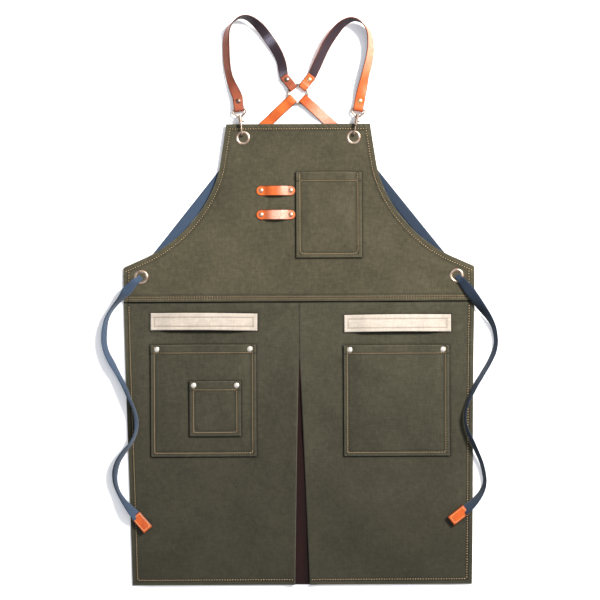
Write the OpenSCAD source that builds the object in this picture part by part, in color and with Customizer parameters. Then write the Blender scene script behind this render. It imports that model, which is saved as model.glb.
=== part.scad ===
// Canvas work apron with a cross back harness, laid out flat.
// X runs across the apron, +Y towards the shoulder straps, +Z up out of the surface it lies on.

/* [Bib] */
// Width of the bib along its top edge
bib_top_w = 275; // [240:1:330]
// Height of the bib above the waist seam
bib_h = 336; // [300:1:410]
// Width across the ears at the waist seam
waist_w = 666; // [600:1:800]
// Height of the ears above the waist seam
ear_h = 65; // [55:1:80]
// Thickness of the canvas
canvas_t = 1.6; // [1.2:0.1:2]

/* [Skirt] */
// Length of the skirt below the waist seam
skirt_len = 534; // [440:1:650]
// Width of the skirt along its hem
hem_w = 646; // [600:1:800]
// How far the skirt's top edge is tucked under the bib
waist_tuck = 14; // [8:1:20]
// Depth of the hem folded under the skirt
hem_h = 24; // [16:1:34]
// Distance from the waist seam down to the top of the centre pleat's opening
pleat_drop = 108; // [70:1:150]
// How far the pleat's left edge stands off the centre line at the hem
pleat_left = 8; // [4:1:14]
// How far the pleat's right edge stands off the centre line at the hem
pleat_right = 19; // [10:1:30]
// Width of the underlay behind the pleat
underlay_w = 90; // [70:1:120]

/* [Pockets] */
// Width of the chest pocket
chest_w = 125; // [90:1:150]
// Height of the chest pocket
chest_h = 162; // [130:1:190]
// Centre of the chest pocket from the centre line
chest_x = 58; // [48:1:66]
// Chest pocket's bottom edge above the waist seam
chest_y = 82; // [60:1:95]
// Width of each big pocket
big_w = 200; // [150:1:240]
// Height of each big pocket
big_h = 212; // [160:1:255]
// Centre of each big pocket from the centre line
big_x = 183; // [165:1:195]
// Big pocket's top edge below the waist seam
big_drop = 83; // [75:1:110]
// Width of the small pocket
small_w = 98; // [80:1:120]
// Height of the small pocket
small_h = 104; // [84:1:125]
// Centre of the small pocket from the centre line
small_x = 160; // [150:1:170]
// Small pocket's bottom edge above the big pocket's bottom edge
small_rise = 38; // [20:1:60]
// Room inside a pocket, front to back
pocket_gap = 6; // [5:0.5:10]
// Width of the sewn edge round a pocket
seam_w = 5; // [3:0.5:8]
// Width of the riveted pad at a pocket's top corner
pad_w = 17; // [14:1:22]

/* [Tool straps and pen loops] */
// Length of a tool strap
tool_w = 203; // [160:1:245]
// Width of a tool strap
tool_h = 33; // [25:1:40]
// Centre of a tool strap below the waist seam
tool_drop = 41; // [36:1:50]
// Length of a pen loop
pen_w = 74; // [64:1:80]
// Width of a pen loop
pen_h = 19; // [14:1:24]
// Lower pen loop's centre above the waist seam
pen_y = 164; // [140:1:190]
// Distance between the two pen loops
pen_pitch = 46; // [30:1:60]
// Thickness of the pen loops' leather
pen_t = 2; // [1.5:0.1:3]
// Room under a tool strap or a pen loop
loop_gap = 5.5; // [5:0.5:8]

/* [Harness] */
// Width of the leather straps
strap_w = 19; // [16:0.5:20]
// Width of a shoulder strap where it folds round the ring
neck_w = 16; // [12:0.5:16]
// Thickness of the strap leather
strap_t = 2.4; // [1.8:0.1:3]
// Width of the webbing
webbing_w = 20; // [16:0.5:24]
// Thickness of the webbing
webbing_t = 1.8; // [1.4:0.1:2.2]
// Length of the leather tip on a tie
tip_l = 36; // [28:1:44]
// Thickness of the leather tip
tip_t = 5; // [4:0.2:6]
// Length of leather folded back at a strap's end
fold_back = 24; // [20:1:28]
// Length of a back strap, from the ring's middle to the webbing
back_l = 118; // [112:2:120]

/* [Metal] */
// Radius of an eyelet's hole
eyelet_r = 8; // [7.5:0.5:10]
// Radius of an eyelet's flange
flange_r = 14; // [12:0.5:17]
// Height of an eyelet's flange above the canvas
flange_h = 1.6; // [1:0.1:2]
// Neck eyelet's distance from the centre line
neck_x = 105; // [90:1:115]
// Neck eyelet's distance below the bib's top edge
neck_drop = 26; // [22:1:27]
// Waist eyelet's distance from the side edge
waist_in = 34; // [24:1:45]
// Waist eyelet's height above the waist seam
waist_y = 47; // [40:1:50]
// Radius of the back ring, to the middle of its wire
ring_r = 18.5; // [17:0.5:24]
// Thickness of the back ring's wire
ring_wire = 3.5; // [3:0.1:5]
// Radius of a rivet's cap
rivet_r = 4.6; // [3.6:0.1:5.5]
// Radius of a rivet's post
post_r = 1.5; // [1:0.1:2]
// Thickness of the hooks' wire
wire_d = 2.8; // [2.2:0.1:3]
// Width between a bail's arms
bail_in = 21; // [20.5:0.5:26]
// Travel of a snap hook's bolt
bolt_travel = 7; // [5:0.5:7.5]

/* [Hidden] */
$fn = 48;

rest_gap = 0.3;
canvas_color = [0.38, 0.35, 0.28];
leather_color = [0.85, 0.45, 0.18];
webbing_color = [0.30, 0.38, 0.50];
cream_color = [0.92, 0.88, 0.80];
steel_color = [0.78, 0.78, 0.78];
brass_color = [0.80, 0.62, 0.38];

// Levels, from the floor up: leather and webbing lie under the bib, and the skirt slopes to the floor.
bib_z = strap_t + webbing_t + 1.4;
bib_top_z = bib_z + canvas_t;
axis_z = bib_z + canvas_t / 2;
washer_t = 0.8;
rim_z = bib_top_z + flange_h;
skirt_angle = asin((bib_z - 2 * canvas_t) / (skirt_len + waist_tuck));

// The frame's origin is the middle of everything but the ties, and the top of the strap loops ends it.
loop_rise = 208;
frame_y = (skirt_len - bib_h - loop_rise - strap_t / 2) / 2;

neck_eyelet = [neck_x, bib_h - neck_drop];
waist_eyelet = [waist_w / 2 - waist_in, waist_y];
barrel_t = 0.8;

// Outlines

arm_top = [bib_top_w / 2 + 11.5, bib_h - 70];
arm_low = [waist_w / 2 - 43, ear_h + 19];
arm_top_pull = arm_top + [11, -70];
arm_low_pull = arm_low + [-75, 34];

function bezier(a, b, c, d, t) =
  a * pow(1 - t, 3) + b * 3 * t * pow(1 - t, 2) + c * 3 * t * t * (1 - t) + d * pow(t, 3);

function left(p) = [-p.x, p.y];

arm_steps = 14;
armhole = [for (i = [0:arm_steps]) bezier(arm_top, arm_top_pull, arm_low_pull, arm_low, i / arm_steps)];
half_bib = concat([[bib_top_w / 2, bib_h]], armhole, [[waist_w / 2, ear_h], [waist_w / 2, 0]]);
bib_outline = concat(half_bib, [for (i = [len(half_bib) - 1:-1:0]) left(half_bib[i])]);

module both() {
  children();
  mirror([1, 0, 0]) children();
}

module placed() {
  translate([0, frame_y, 0]) children();
}

// The skirt's own frame has its hem on the floor and tilts up to meet the underside of the bib.
module on_skirt() {
  placed() translate([0, -skirt_len, 0]) rotate([skirt_angle, 0, 0]) children();
}
skirt_face = 2 * canvas_t;

function skirt_y(drop) = skirt_len - drop;
function skirt_top_at(y) = skirt_face * cos(skirt_angle) + (y + skirt_len) * tan(skirt_angle);

module bore(at, r) {
  translate([at.x, at.y, -20]) cylinder(r = r, h = 60);
}

module bib() {
  color(canvas_color) placed() difference() {
    translate([0, 0, bib_z]) linear_extrude(canvas_t) polygon(bib_outline);
    both() bore(neck_eyelet, eyelet_r + barrel_t);
    both() bore(waist_eyelet, eyelet_r + barrel_t);
    for (y = [pen_y, pen_y + pen_pitch]) for (s = [-1, 1]) bore([pen_x + s * pen_rivet_x, y], post_r);
  }
}

// One half of the skirt, from the side edge at waist and hem to the centre line and the pleat.
module skirt_half(side, slant, rivets) {
  top_y = skirt_len + waist_tuck;
  apex_y = skirt_y(pleat_drop);
  outline = [[0, top_y], [waist_w / 2, top_y], [waist_w / 2, skirt_len], [hem_w / 2, 0], [slant, 0], [0, apex_y]];
  fold_in = underlay_w / 2 + 6;
  fold_out = hem_w / 2 - 1;
  color(canvas_color) on_skirt() mirror([side < 0 ? 1 : 0, 0, 0]) difference() {
    union() {
      translate([0, 0, canvas_t]) linear_extrude(canvas_t) polygon(outline);
      translate([fold_in, 0, 0]) cube([fold_out - fold_in, hem_h, canvas_t + 0.2]);
    }
    for (r = rivets) bore(r, post_r);
  }
}

module left_skirt() { skirt_half(-1, pleat_left, big_rivets); }
module right_skirt() { skirt_half(1, pleat_right, big_rivets); }

module pleat_underlay() {
  middle = (pleat_right - pleat_left) / 2;
  color([0.16, 0.13, 0.13]) on_skirt()
    translate([middle - underlay_w / 2, 0, 0]) cube([underlay_w, skirt_y(pleat_drop) + 16, canvas_t]);
}

// Pockets

// A pocket stands off its backing by the gap, is sewn down at the sides and foot, and is open at the top.
module pocket(w, h, riveted) {
  difference() {
    translate([-w / 2, 0, 0]) cube([w, h, pocket_gap + canvas_t]);
    translate([-w / 2 + seam_w, seam_w, -1]) cube([w - 2 * seam_w, h, pocket_gap + 1]);
  }
  if (riveted) for (s = [-1, 1])
    translate([s * (w / 2 - pad_w / 2) - pad_w / 2, h - pad_w, 0]) cube([pad_w, pad_w, pocket_gap]);
}

rivet_in = 11;
rivet_down = 8;
function pocket_rivets(w, h) = [for (s = [-1, 1]) [s * (w / 2 - rivet_in), h - rivet_down]];
big_foot = skirt_y(big_drop) - big_h;
big_rivets = [for (r = pocket_rivets(big_w, big_h)) r + [big_x, big_foot]];
small_foot = big_foot + small_rise;
small_face = skirt_face + pocket_gap + canvas_t;

module chest_pocket() {
  color(canvas_color) placed() translate([chest_x, chest_y, bib_top_z]) pocket(chest_w, chest_h, false);
}

module big_pocket() {
  difference() {
    translate([0, big_foot, skirt_face]) pocket(big_w, big_h, true);
    for (r = pocket_rivets(big_w, big_h)) bore(r + [0, big_foot], post_r);
  }
}

module left_pocket() {
  color(canvas_color) on_skirt() difference() {
    translate([-big_x, 0, 0]) big_pocket();
    for (r = small_rivets) bore(r, post_r);
  }
}

module right_pocket() {
  color(canvas_color) on_skirt() translate([big_x, 0, 0]) big_pocket();
}

small_rivets = [for (r = pocket_rivets(small_w, small_h)) r + [-small_x, small_foot]];

module small_pocket() {
  color(canvas_color) on_skirt() difference() {
    translate([-small_x, small_foot, small_face]) pocket(small_w, small_h, true);
    for (r = small_rivets) bore(r, post_r);
  }
}

// Rivets

burr_r = 3.8;
burr_t = 0.8;
cap_t = 1.5;

// A rivet's post spans the layers from low to high, with a burr below and a domed cap above.
module rivet(low, high) {
  dome_r = (rivet_r * rivet_r + cap_t * cap_t) / (2 * cap_t);
  translate([0, 0, low - burr_t]) cylinder(r = burr_r, h = burr_t);
  translate([0, 0, low - burr_t]) cylinder(r = post_r, h = high - low + burr_t + 0.1);
  rotate_extrude() intersection() {
    translate([0, high + cap_t - dome_r]) circle(r = dome_r, $fn = 96);
    translate([0, high]) square([rivet_r, cap_t]);
  }
}

module rivets_at(points, low, high) {
  for (p = points) translate([p.x, p.y, 0]) rivet(low, high);
}

module pen_loop_rivets() {
  spots = [for (y = [pen_y, pen_y + pen_pitch]) for (s = [-1, 1]) [pen_x + s * pen_rivet_x, y]];
  color(brass_color) placed() rivets_at(spots, bib_z, bib_top_z + pen_t);
}

module left_pocket_rivets() {
  spots = [for (r = big_rivets) [-r.x, r.y]];
  color(steel_color) on_skirt() rivets_at(spots, canvas_t, skirt_face + pocket_gap + canvas_t);
}

module right_pocket_rivets() {
  color(steel_color) on_skirt() rivets_at(big_rivets, canvas_t, skirt_face + pocket_gap + canvas_t);
}

module small_pocket_rivets() {
  color(steel_color) on_skirt()
    rivets_at(small_rivets, small_face - canvas_t, small_face + pocket_gap + canvas_t);
}

// Loops that hold tools and pens

pen_x = -43;
pen_rivet_x = pen_w / 2 - 9;

// A strip with flat feet and a raised middle, w long and t thick, seen from its side.
module arch(w, foot, t) {
  slope = loop_gap * 1.2;
  low = w / 2 - foot;
  polygon([
    [-w / 2, 0], [-low, 0], [-low + slope, loop_gap], [low - slope, loop_gap], [low, 0], [w / 2, 0],
    [w / 2, t], [low, t], [low - slope, loop_gap + t], [-low + slope, loop_gap + t], [-low, t], [-w / 2, t]]);
}

module tool_strap(side) {
  color(cream_color) on_skirt() translate([side * (big_x + 1), skirt_y(tool_drop) + tool_h / 2, skirt_face])
    rotate([90, 0, 0]) linear_extrude(tool_h) arch(tool_w, 10, canvas_t);
}

module left_tool_strap() { tool_strap(-1); }
module right_tool_strap() { tool_strap(1); }

module pen_loop(y) {
  end_r = pen_h / 2;
  color(leather_color) placed() translate([pen_x, y, bib_top_z]) difference() {
    intersection() {
      translate([0, end_r, 0]) rotate([90, 0, 0]) linear_extrude(pen_h) arch(pen_w, 17, pen_t);
      linear_extrude(20) union() {
        square([pen_w - 2 * end_r, pen_h], center = true);
        for (s = [-1, 1]) translate([s * (pen_w / 2 - end_r), 0]) circle(r = end_r);
      }
    }
    for (s = [-1, 1]) bore([s * pen_rivet_x, 0], post_r);
  }
}

module upper_pen_loop() { pen_loop(pen_y + pen_pitch); }
module lower_pen_loop() { pen_loop(pen_y); }

// Eyelets

module eyelet(at) {
  mid_r = (eyelet_r + flange_r) / 2;
  half = (flange_r - eyelet_r) / 2;
  dome_r = (half * half + flange_h * flange_h) / (2 * flange_h);
  color(brass_color) placed() translate([at.x, at.y, 0]) rotate_extrude() {
    translate([eyelet_r, bib_z - washer_t]) square([barrel_t, canvas_t + washer_t + 0.3]);
    translate([0, bib_top_z]) intersection() {
      translate([mid_r, flange_h - dome_r]) circle(r = dome_r, $fn = 96);
      translate([eyelet_r, 0]) square([2 * half, flange_h]);
    }
  }
}

module washer(at) {
  color(brass_color) placed() translate([at.x, at.y, bib_z - washer_t]) rotate_extrude()
    translate([eyelet_r + barrel_t, 0]) square([flange_r - eyelet_r - barrel_t, washer_t]);
}

module left_neck_eyelet() { eyelet(left(neck_eyelet)); }
module right_neck_eyelet() { eyelet(neck_eyelet); }
module left_waist_eyelet() { eyelet(left(waist_eyelet)); }
module right_waist_eyelet() { eyelet(waist_eyelet); }
module left_neck_washer() { washer(left(neck_eyelet)); }
module right_neck_washer() { washer(neck_eyelet); }
module left_waist_washer() { washer(left(waist_eyelet)); }
module right_waist_washer() { washer(waist_eyelet); }

// Snap hooks
// A hook's own frame: x from the swivel towards the eyelet, z up, with the swivel on the x axis.

hook_reach = neck_drop + 6;
bail_back = 22;
left_hook_turn = -83;
right_hook_turn = -100;
wire_r = wire_d / 2;
low_z = -(axis_z - wire_r - 0.2);
tube_z = 7;
tube_out_r = 2.9;
bolt_r = 1.3;
bend_r = (tube_z - low_z) / 2;
bend_x = hook_reach - 3.4 - bend_r;
collar_x = [-10, -5];
pivot_r = 1.6;
head_r = 2.6;
run_gap = 0.05;
tube_x = [-10.6, 9];
knob_x = 1.6;

function aim(turn) = [cos(turn), sin(turn)];
function hook_at(eye, turn) = eye - aim(turn) * hook_reach;
function bar_at(eye, turn) = eye - aim(turn) * (hook_reach + bail_back);

module on_hook(side) {
  eye = side < 0 ? left(neck_eyelet) : neck_eyelet;
  turn = side < 0 ? left_hook_turn : right_hook_turn;
  at = hook_at(eye, turn);
  placed() translate([at.x, at.y, axis_z]) rotate([0, 0, turn]) children();
}

module rod(a, b, r) {
  run = b - a;
  flat = norm([run.x, run.y]);
  translate(a) rotate([0, atan2(flat, run.z), atan2(run.y, run.x)]) cylinder(r = r, h = norm(run));
}

module hook_bail(side) {
  half = bail_in / 2 + wire_r;
  color(steel_color) on_hook(side) difference() {
    union() {
      rod([-bail_back, -half, 0], [-bail_back, half, 0], wire_r);
      for (s = [-1, 1]) {
        rod([-bail_back, s * half, 0], [-bail_back + 6, s * half, 0], wire_r);
        rod([-bail_back + 6, s * half, 0], [collar_x[0] + 2.5, s * 2.6, 0], wire_r);
        translate([-bail_back, s * half, 0]) sphere(r = wire_r);
        translate([-bail_back + 6, s * half, 0]) sphere(r = wire_r);
      }
      rod([collar_x[0], 0, 0], [collar_x[1], 0, 0], 3.4);
    }
    rod([collar_x[0] - 1, 0, 0], [collar_x[1] + 1, 0, 0], pivot_r + run_gap);
    rod([collar_x[0] - 3.4, 0, 0], [collar_x[0], 0, 0], head_r + 0.4);
  }
}

// A quarter or half turn of wire, from angle a through sweep, about the y axis of the hook.
module wire_bend(at, r, a, sweep) {
  translate([at.x, 0, at.y]) rotate([90, 0, 0]) rotate([0, 0, a]) rotate_extrude(angle = sweep)
    translate([r, 0]) circle(r = wire_r);
}

module hook_body(side) {
  corner_r = 3;
  back_x = 1.5;
  color(steel_color) on_hook(side) difference() {
    union() {
      rod([collar_x[0] - 2.2, 0, 0], [collar_x[0] - 0.2, 0, 0], head_r);
      rod([collar_x[0] - 0.4, 0, 0], [0, 0, 0], pivot_r);
      rod([collar_x[1] + 0.2, 0, 0], [back_x, 0, 0], 3.2);
      rod([back_x, 0, low_z + corner_r], [back_x, 0, tube_z], wire_r + 0.3);
      wire_bend([back_x + corner_r, low_z + corner_r], corner_r, 180, 90);
      rod([back_x + corner_r, 0, low_z], [bend_x, 0, low_z], wire_r);
      wire_bend([bend_x, (tube_z + low_z) / 2], bend_r, -90, 180);
      rod([bend_x - 2, 0, tube_z], [bend_x, 0, tube_z], wire_r);
      rod([tube_x[0], 0, tube_z], [tube_x[1], 0, tube_z], tube_out_r);
    }
    rod([tube_x[0] + 1.2, 0, tube_z], [tube_x[1] + 1, 0, tube_z], bolt_r + run_gap);
    translate([knob_x - 1.3 - bolt_travel, 0, tube_z - 1.2]) cube([bolt_travel + 2.6, 8, 2.4]);
  }
}

module hook_bolt(side) {
  color(steel_color) on_hook(side) {
    rod([0, 0, tube_z], [bend_x - 2.1, 0, tube_z], bolt_r);
    rod([knob_x, 0, tube_z], [knob_x, 5, tube_z], 1);
    rod([knob_x, 4, tube_z], [knob_x, 6.4, tube_z], 1.7);
  }
}

spring_turns = 5;
spring_steps = 10;
spring_wire = 0.3;

// The spring fills the tube between its closed end and the bolt.
module bolt_spring(side) {
  start = tube_x[0] + 1.2 + spring_wire;
  run = -spring_wire - start;
  count = spring_turns * spring_steps;
  coil_r = bolt_r - spring_wire - 0.1;
  path = [for (i = [0:count]) [start + run * i / count, coil_r * cos(36 * i), tube_z + coil_r * sin(36 * i)]];
  color(steel_color) on_hook(side) wire_along(path, spring_wire / 2 + 0.05, 6);
}

module left_hook_bail() { hook_bail(-1); }
module right_hook_bail() { hook_bail(1); }
module left_hook_body() { hook_body(-1); }
module right_hook_body() { hook_body(1); }
module left_hook_bolt() { hook_bolt(-1); }
module right_hook_bolt() { hook_bolt(1); }
module left_bolt_spring() { bolt_spring(-1); }
module right_bolt_spring() { bolt_spring(1); }

// Sweeps

// A smooth curve through the route's points: b and c are its ends, a and d the points before and after.
function between(a, b, c, d, t) =
  0.5 * (2 * b + (c - a) * t + (2 * a - 5 * b + 4 * c - d) * t * t + (3 * b - a - 3 * c + d) * t * t * t);

function smooth(r, k) = concat(
  [for (i = [0:len(r) - 2]) for (j = [0:k - 1])
    between(r[max(i - 1, 0)], r[i], r[i + 1], r[min(i + 2, len(r) - 1)], j / k)],
  [r[len(r) - 1]]);

// A route's row is x, y, the height of its lower edge, tilt about its run, width and thickness.
function middle_of(p) = [p[0], p[1], p[2] + p[4] / 2 * abs(sin(p[3])) + p[5] / 2 * abs(cos(p[3]))];

function run_at(c, i) = let (d = c[min(i + 1, len(c) - 1)] - c[max(i - 1, 0)]) d / norm(d);

function flat_section(w, t) = let (x = w / 2, y = t / 2, b = t / 5)
  [[x, b - y], [x, y - b], [x - b, y], [b - x, y], [-x, y - b], [-x, b - y], [b - x, -y], [x - b, -y]];

function band_ring(r, c, i) =
  let (t = run_at(c, i), side = [-t.y, t.x, 0] / norm([t.x, t.y]), up = cross(t, side),
       across = side * cos(r[i][3]) + up * sin(r[i][3]), through = cross(t, across))
  [for (p = flat_section(r[i][4], r[i][5])) c[i] + across * p.x + through * p.y];

// Skins rings of n points each into a closed solid.
module skin(rings) {
  n = len(rings[0]);
  last = len(rings) - 1;
  polyhedron(
    points = [for (r = rings) each r],
    faces = concat(
      [[for (k = [0:n - 1]) k]],
      [for (i = [0:last - 1]) for (k = [0:n - 1]) each
        let (a = i * n + k, b = i * n + (k + 1) % n) [[a, a + n, b + n], [a, b + n, b]]],
      [[for (k = [n - 1:-1:0]) last * n + k]]));
}

module band(route, first, last) {
  c = [for (p = route) middle_of(p)];
  skin([for (i = [first:last]) band_ring(route, c, i)]);
}

module wire_along(path, r, n) {
  skin([for (i = [0:len(path) - 1])
    let (t = run_at(path, i), side = cross(t, [1, 0, 0]) / norm(cross(t, [1, 0, 0])), up = cross(t, side))
    [for (k = [0:n - 1]) path[i] + side * r * cos(360 * k / n) + up * r * sin(360 * k / n)]]);
}

// Leather straps

ring_at = [0, bib_h + 57];
ring_slot = ring_wire + 0.4;
ring_z = strap_t + ring_slot / 2;
upper_turn = 52;

module back_ring() {
  color(steel_color) placed() translate([ring_at.x, ring_at.y, ring_z]) rotate_extrude()
    translate([ring_r, 0]) circle(r = ring_wire / 2);
}

// Leather folded round a bar at the origin, running out along x. The strap is the upper layer when up is 1
// and the lower layer when up is -1; the other layer is the folded tab.
module fold(w, slot, reach, up) {
  r = slot / 2 + strap_t;
  pinch = slot + 8;
  inner_x = -reach + slot / 2;
  end = fold_back + 4;
  translate([0, w / 2, 0]) rotate([90, 0, 0]) linear_extrude(w) difference() {
    union() {
      translate([inner_x, 0]) circle(r = r);
      polygon([[inner_x, r], [slot / 2, r], [pinch, strap_t], [up > 0 ? end : fold_back, strap_t],
        [up > 0 ? end : fold_back, 0], [up > 0 ? fold_back : end, 0], [up > 0 ? fold_back : end, -strap_t],
        [pinch, -strap_t], [slot / 2, -r], [inner_x, -r]]);
    }
    translate([inner_x, 0]) circle(r = slot / 2);
    translate([inner_x, -slot / 2]) square([reach, slot]);
    translate([slot / 2 - 0.1, 0]) circle(r = slot / 2);
  }
}

fold_rivet_x = 16;

module folded(at, z, turn, w, slot, reach, up) {
  translate([at.x, at.y, z]) rotate([0, 0, turn]) difference() {
    fold(w, slot, reach, up);
    bore([fold_rivet_x, 0], post_r);
  }
}

module fold_rivet(at, z, turn) {
  translate([at.x, at.y, z]) rotate([0, 0, turn]) translate([fold_rivet_x, 0, 0]) rivet(-strap_t, strap_t);
}

bar_slot = wire_d + 0.4;
// How far the fold reaches in past the middle of the ring's wire, which curves across the strap.
function ring_fold_reach(w) = ring_r - sqrt(pow(ring_r - ring_wire / 2, 2) - w * w / 4) + 0.6;

// Shoulder strap routes, from the hook to the ring. A row is x as a share of the neck eyelet's distance,
// y above the bib, lower edge's height and tilt.
left_loop = [
  [-1.24, 87, 1, -32], [-1.30, 113, 0.5, -42], [-1.315, 137, 0.5, -45], [-1.32, 160, 1, -48],
  [-1.30, 179, 2, -60], [-1.205, 195, 4, -80], [-1.07, 205, 6, -90], [-0.94, 206, 7, -110],
  [-0.80, 199, 6, -125], [-0.67, 187, 4, -140], [-0.56, 170, 2.5, -147], [-0.46, 149, 1.5, -144],
  [-0.37, 124, 1, -146]];
right_loop = [
  [1.19, 85, 1, 34], [1.24, 105, 0.5, 46], [1.285, 124, 0.5, 54], [1.31, 143, 1, 60],
  [1.30, 162, 2, 66], [1.265, 180, 4, 78], [1.18, 194, 6, 88], [1.05, 201, 7, 98],
  [0.93, 200, 6, 114], [0.80, 192, 4, 128], [0.69, 179, 2.5, 142], [0.53, 153, 1.5, 148],
  [0.41, 127, 1, 146]];

function loop_rows(rows) =
  [for (r = rows) [r[0] * neck_x, bib_h + r[1], r[2], r[3], strap_w, strap_t - 0.1]];

function strap_route(side) =
  let (eye = side < 0 ? left(neck_eyelet) : neck_eyelet,
       turn = side < 0 ? left_hook_turn : right_hook_turn,
       bar = bar_at(eye, turn), out = -aim(turn),
       ring_out = aim(90 - side * (90 - upper_turn)), flip = side * 180,
       low = ring_z - strap_t + 0.05)
  concat(
    [for (d = [fold_rivet_x + 6, fold_back + 12])
      [each (bar + out * d), axis_z + 0.05, 0, strap_w - 0.4, strap_t - 0.1]],
    loop_rows(side < 0 ? left_loop : right_loop),
    [for (d = [fold_back + 12, fold_rivet_x + 6])
      [each (ring_at + ring_out * (ring_r + d)), low, flip, neck_w - 0.4, strap_t - 0.1]]);

module shoulder_strap(side) {
  eye = side < 0 ? left(neck_eyelet) : neck_eyelet;
  turn = side < 0 ? left_hook_turn : right_hook_turn;
  ring_turn = 90 - side * (90 - upper_turn);
  route = smooth(strap_route(side), 3);
  color(leather_color) placed() {
    band(route, 0, len(route) - 1);
    folded(bar_at(eye, turn), axis_z, turn + 180, strap_w, bar_slot, bar_slot / 2, 1);
    folded(ring_at + aim(ring_turn) * ring_r, ring_z, ring_turn, neck_w, ring_slot, ring_fold_reach(neck_w), -1);
  }
}

module strap_rivets(side) {
  eye = side < 0 ? left(neck_eyelet) : neck_eyelet;
  turn = side < 0 ? left_hook_turn : right_hook_turn;
  ring_turn = 90 - side * (90 - upper_turn);
  color(brass_color) placed() {
    fold_rivet(bar_at(eye, turn), axis_z, turn + 180);
    fold_rivet(ring_at + aim(ring_turn) * ring_r, ring_z, ring_turn);
  }
}

module left_shoulder_strap() { shoulder_strap(-1); }
module right_shoulder_strap() { shoulder_strap(1); }
module left_strap_rivets() { strap_rivets(-1); }
module right_strap_rivets() { strap_rivets(1); }

// Back straps run straight from the ring, down under the bib, to the place where the webbing is sewn on.
back_aim = [arm_top.x + 4, arm_top.y - 14] - ring_at;
back_run = back_aim / norm(back_aim);
join = ring_at + back_run * back_l;
back_turn = atan2(back_run.y, back_run.x);
overlap = 22;
// The strap is flat on the floor where it first passes under the bib's top edge.
back_drop = [fold_back + 6, (ring_at.y - bib_h - strap_w / 2) / -back_run.y - ring_r];

module back_strap(side) {
  at = ring_at + back_run * ring_r;
  end = back_l - ring_r;
  profile = [[back_drop[0] - 4, ring_z], [back_drop[0], ring_z], [back_drop[1], 0], [end, 0], [end, strap_t],
    [back_drop[1], strap_t], [back_drop[0], ring_z + strap_t], [back_drop[0] - 4, ring_z + strap_t]];
  color(leather_color) placed() mirror([side < 0 ? 1 : 0, 0, 0]) {
    translate([at.x, at.y, ring_z]) rotate([0, 0, back_turn])
      fold(strap_w, ring_slot, ring_fold_reach(strap_w), 1);
    translate([at.x, at.y, 0]) rotate([0, 0, back_turn]) translate([0, strap_w / 2, 0]) rotate([90, 0, 0])
      linear_extrude(strap_w) polygon(profile);
  }
}

module left_back_strap() { back_strap(-1); }
module right_back_strap() { back_strap(1); }

// Webbing

in_hole_w = 1.4 * eyelet_r;
hole_g = axis_z - webbing_t / 2;
under_g = bib_z - washer_t - webbing_t - 0.5;
over_g = rim_z + rest_gap;
sk = skirt_top_at(-230) + rest_gap;
tip_g = skirt_top_at(-380) + rest_gap + (tip_t - webbing_t) / 2;

// The rear stretch runs straight from the seam on the leather to the waist eyelet, and up through it.
rear_run = (waist_eyelet - join) / norm(waist_eyelet - join);
rear_rows = [
  [each (join - back_run * overlap), strap_t + 0.05, 0, webbing_w, webbing_t],
  [each (join - back_run * 6), strap_t + 0.05, 0, webbing_w, webbing_t],
  [each (join + rear_run * 4), strap_t + 0.15, 0, webbing_w, webbing_t],
  [each (join + rear_run * 15), rest_gap, 0, webbing_w, webbing_t],
  [each (join + rear_run * 45), rest_gap, 0, webbing_w, webbing_t],
  [each (join + rear_run * 130), rest_gap, 0, webbing_w, webbing_t],
  [each (waist_eyelet - rear_run * 42), rest_gap, 0, webbing_w, webbing_t],
  [each (waist_eyelet - rear_run * 18), rest_gap + 0.6, 0, 0.8 * webbing_w, webbing_t],
  [each (waist_eyelet - rear_run * 6.5), under_g, 0, in_hole_w, webbing_t]];

// Tie routes from the waist eyelet. A row is x and y from the eyelet, lower edge's height and tilt.
left_tie_rows = [
  [-38, -36, bib_top_z + 0.4, -80], [-57, -63, 3, -72], [-69, -95, 0.5, -58], [-70, -125, 0.5, -60],
  [-60, -156, 1.5, -62], [-42, -189, 5, -68], [-25, -227, sk, -72], [-12, -262, sk, -78],
  [-11, -294, sk, -75], [-28, -323, sk, -70], [-46, -347, 4.4, -60], [-52, -378, 1.5, -60],
  [-43, -410, 4, -52], [-27, -434, tip_g, -26], [-13, -450, tip_g, 0], [-8, -455, tip_g, 0]];
right_tie_rows = [
  [37, -43, bib_top_z + 0.4, 34], [53, -63, 4.6, 46], [67, -90, 0.8, 62], [74, -120, 0.5, 70],
  [69, -148, 0.5, 68], [54, -179, 1.5, 66], [36, -207, 5, 66], [21, -238, sk, 72],
  [14, -270, sk, 80], [21, -301, sk, 75], [37, -333, 4.9, 70], [50, -362, 1.5, 70],
  [56, -391, 0.8, 66], [44, -418, 4, 52], [31, -432, tip_g, 26], [18, -442, tip_g, 0], [13, -446, tip_g, 0]];

function rim_rows(side, run) = [
  [0, 0, hole_g, 0, in_hole_w, webbing_t],
  [each run * 6.5, over_g, 0, in_hole_w, webbing_t],
  [each run * 16, over_g + 0.5, 0, 0.8 * webbing_w, webbing_t],
  [each run * 28, bib_top_z + 1.2, side * 14, 0.95 * webbing_w, webbing_t]];

function webbing_route(side) =
  let (eye = side < 0 ? left(waist_eyelet) : waist_eyelet,
       rows = side < 0 ? left_tie_rows : right_tie_rows,
       first = [rows[0][0], rows[0][1]], run = first / norm(first))
  concat(
    [for (r = rear_rows) [side * r[0], r[1], r[2], r[3], r[4], r[5]]],
    [for (r = rim_rows(side, run)) r + [eye.x, eye.y, 0, 0, 0, 0]],
    [for (r = rows) [r[0] + eye.x, r[1] + eye.y, r[2], r[3], webbing_w, webbing_t]]);

webbing_steps = 2;
hole_index = len(rear_rows) * webbing_steps;

module rear_webbing(side) {
  color(webbing_color) placed() band(smooth(webbing_route(side), webbing_steps), 0, hole_index);
}

module tie(side) {
  route = smooth(webbing_route(side), webbing_steps);
  color(webbing_color) placed() band(route, hole_index, len(route) - 1);
}

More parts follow.
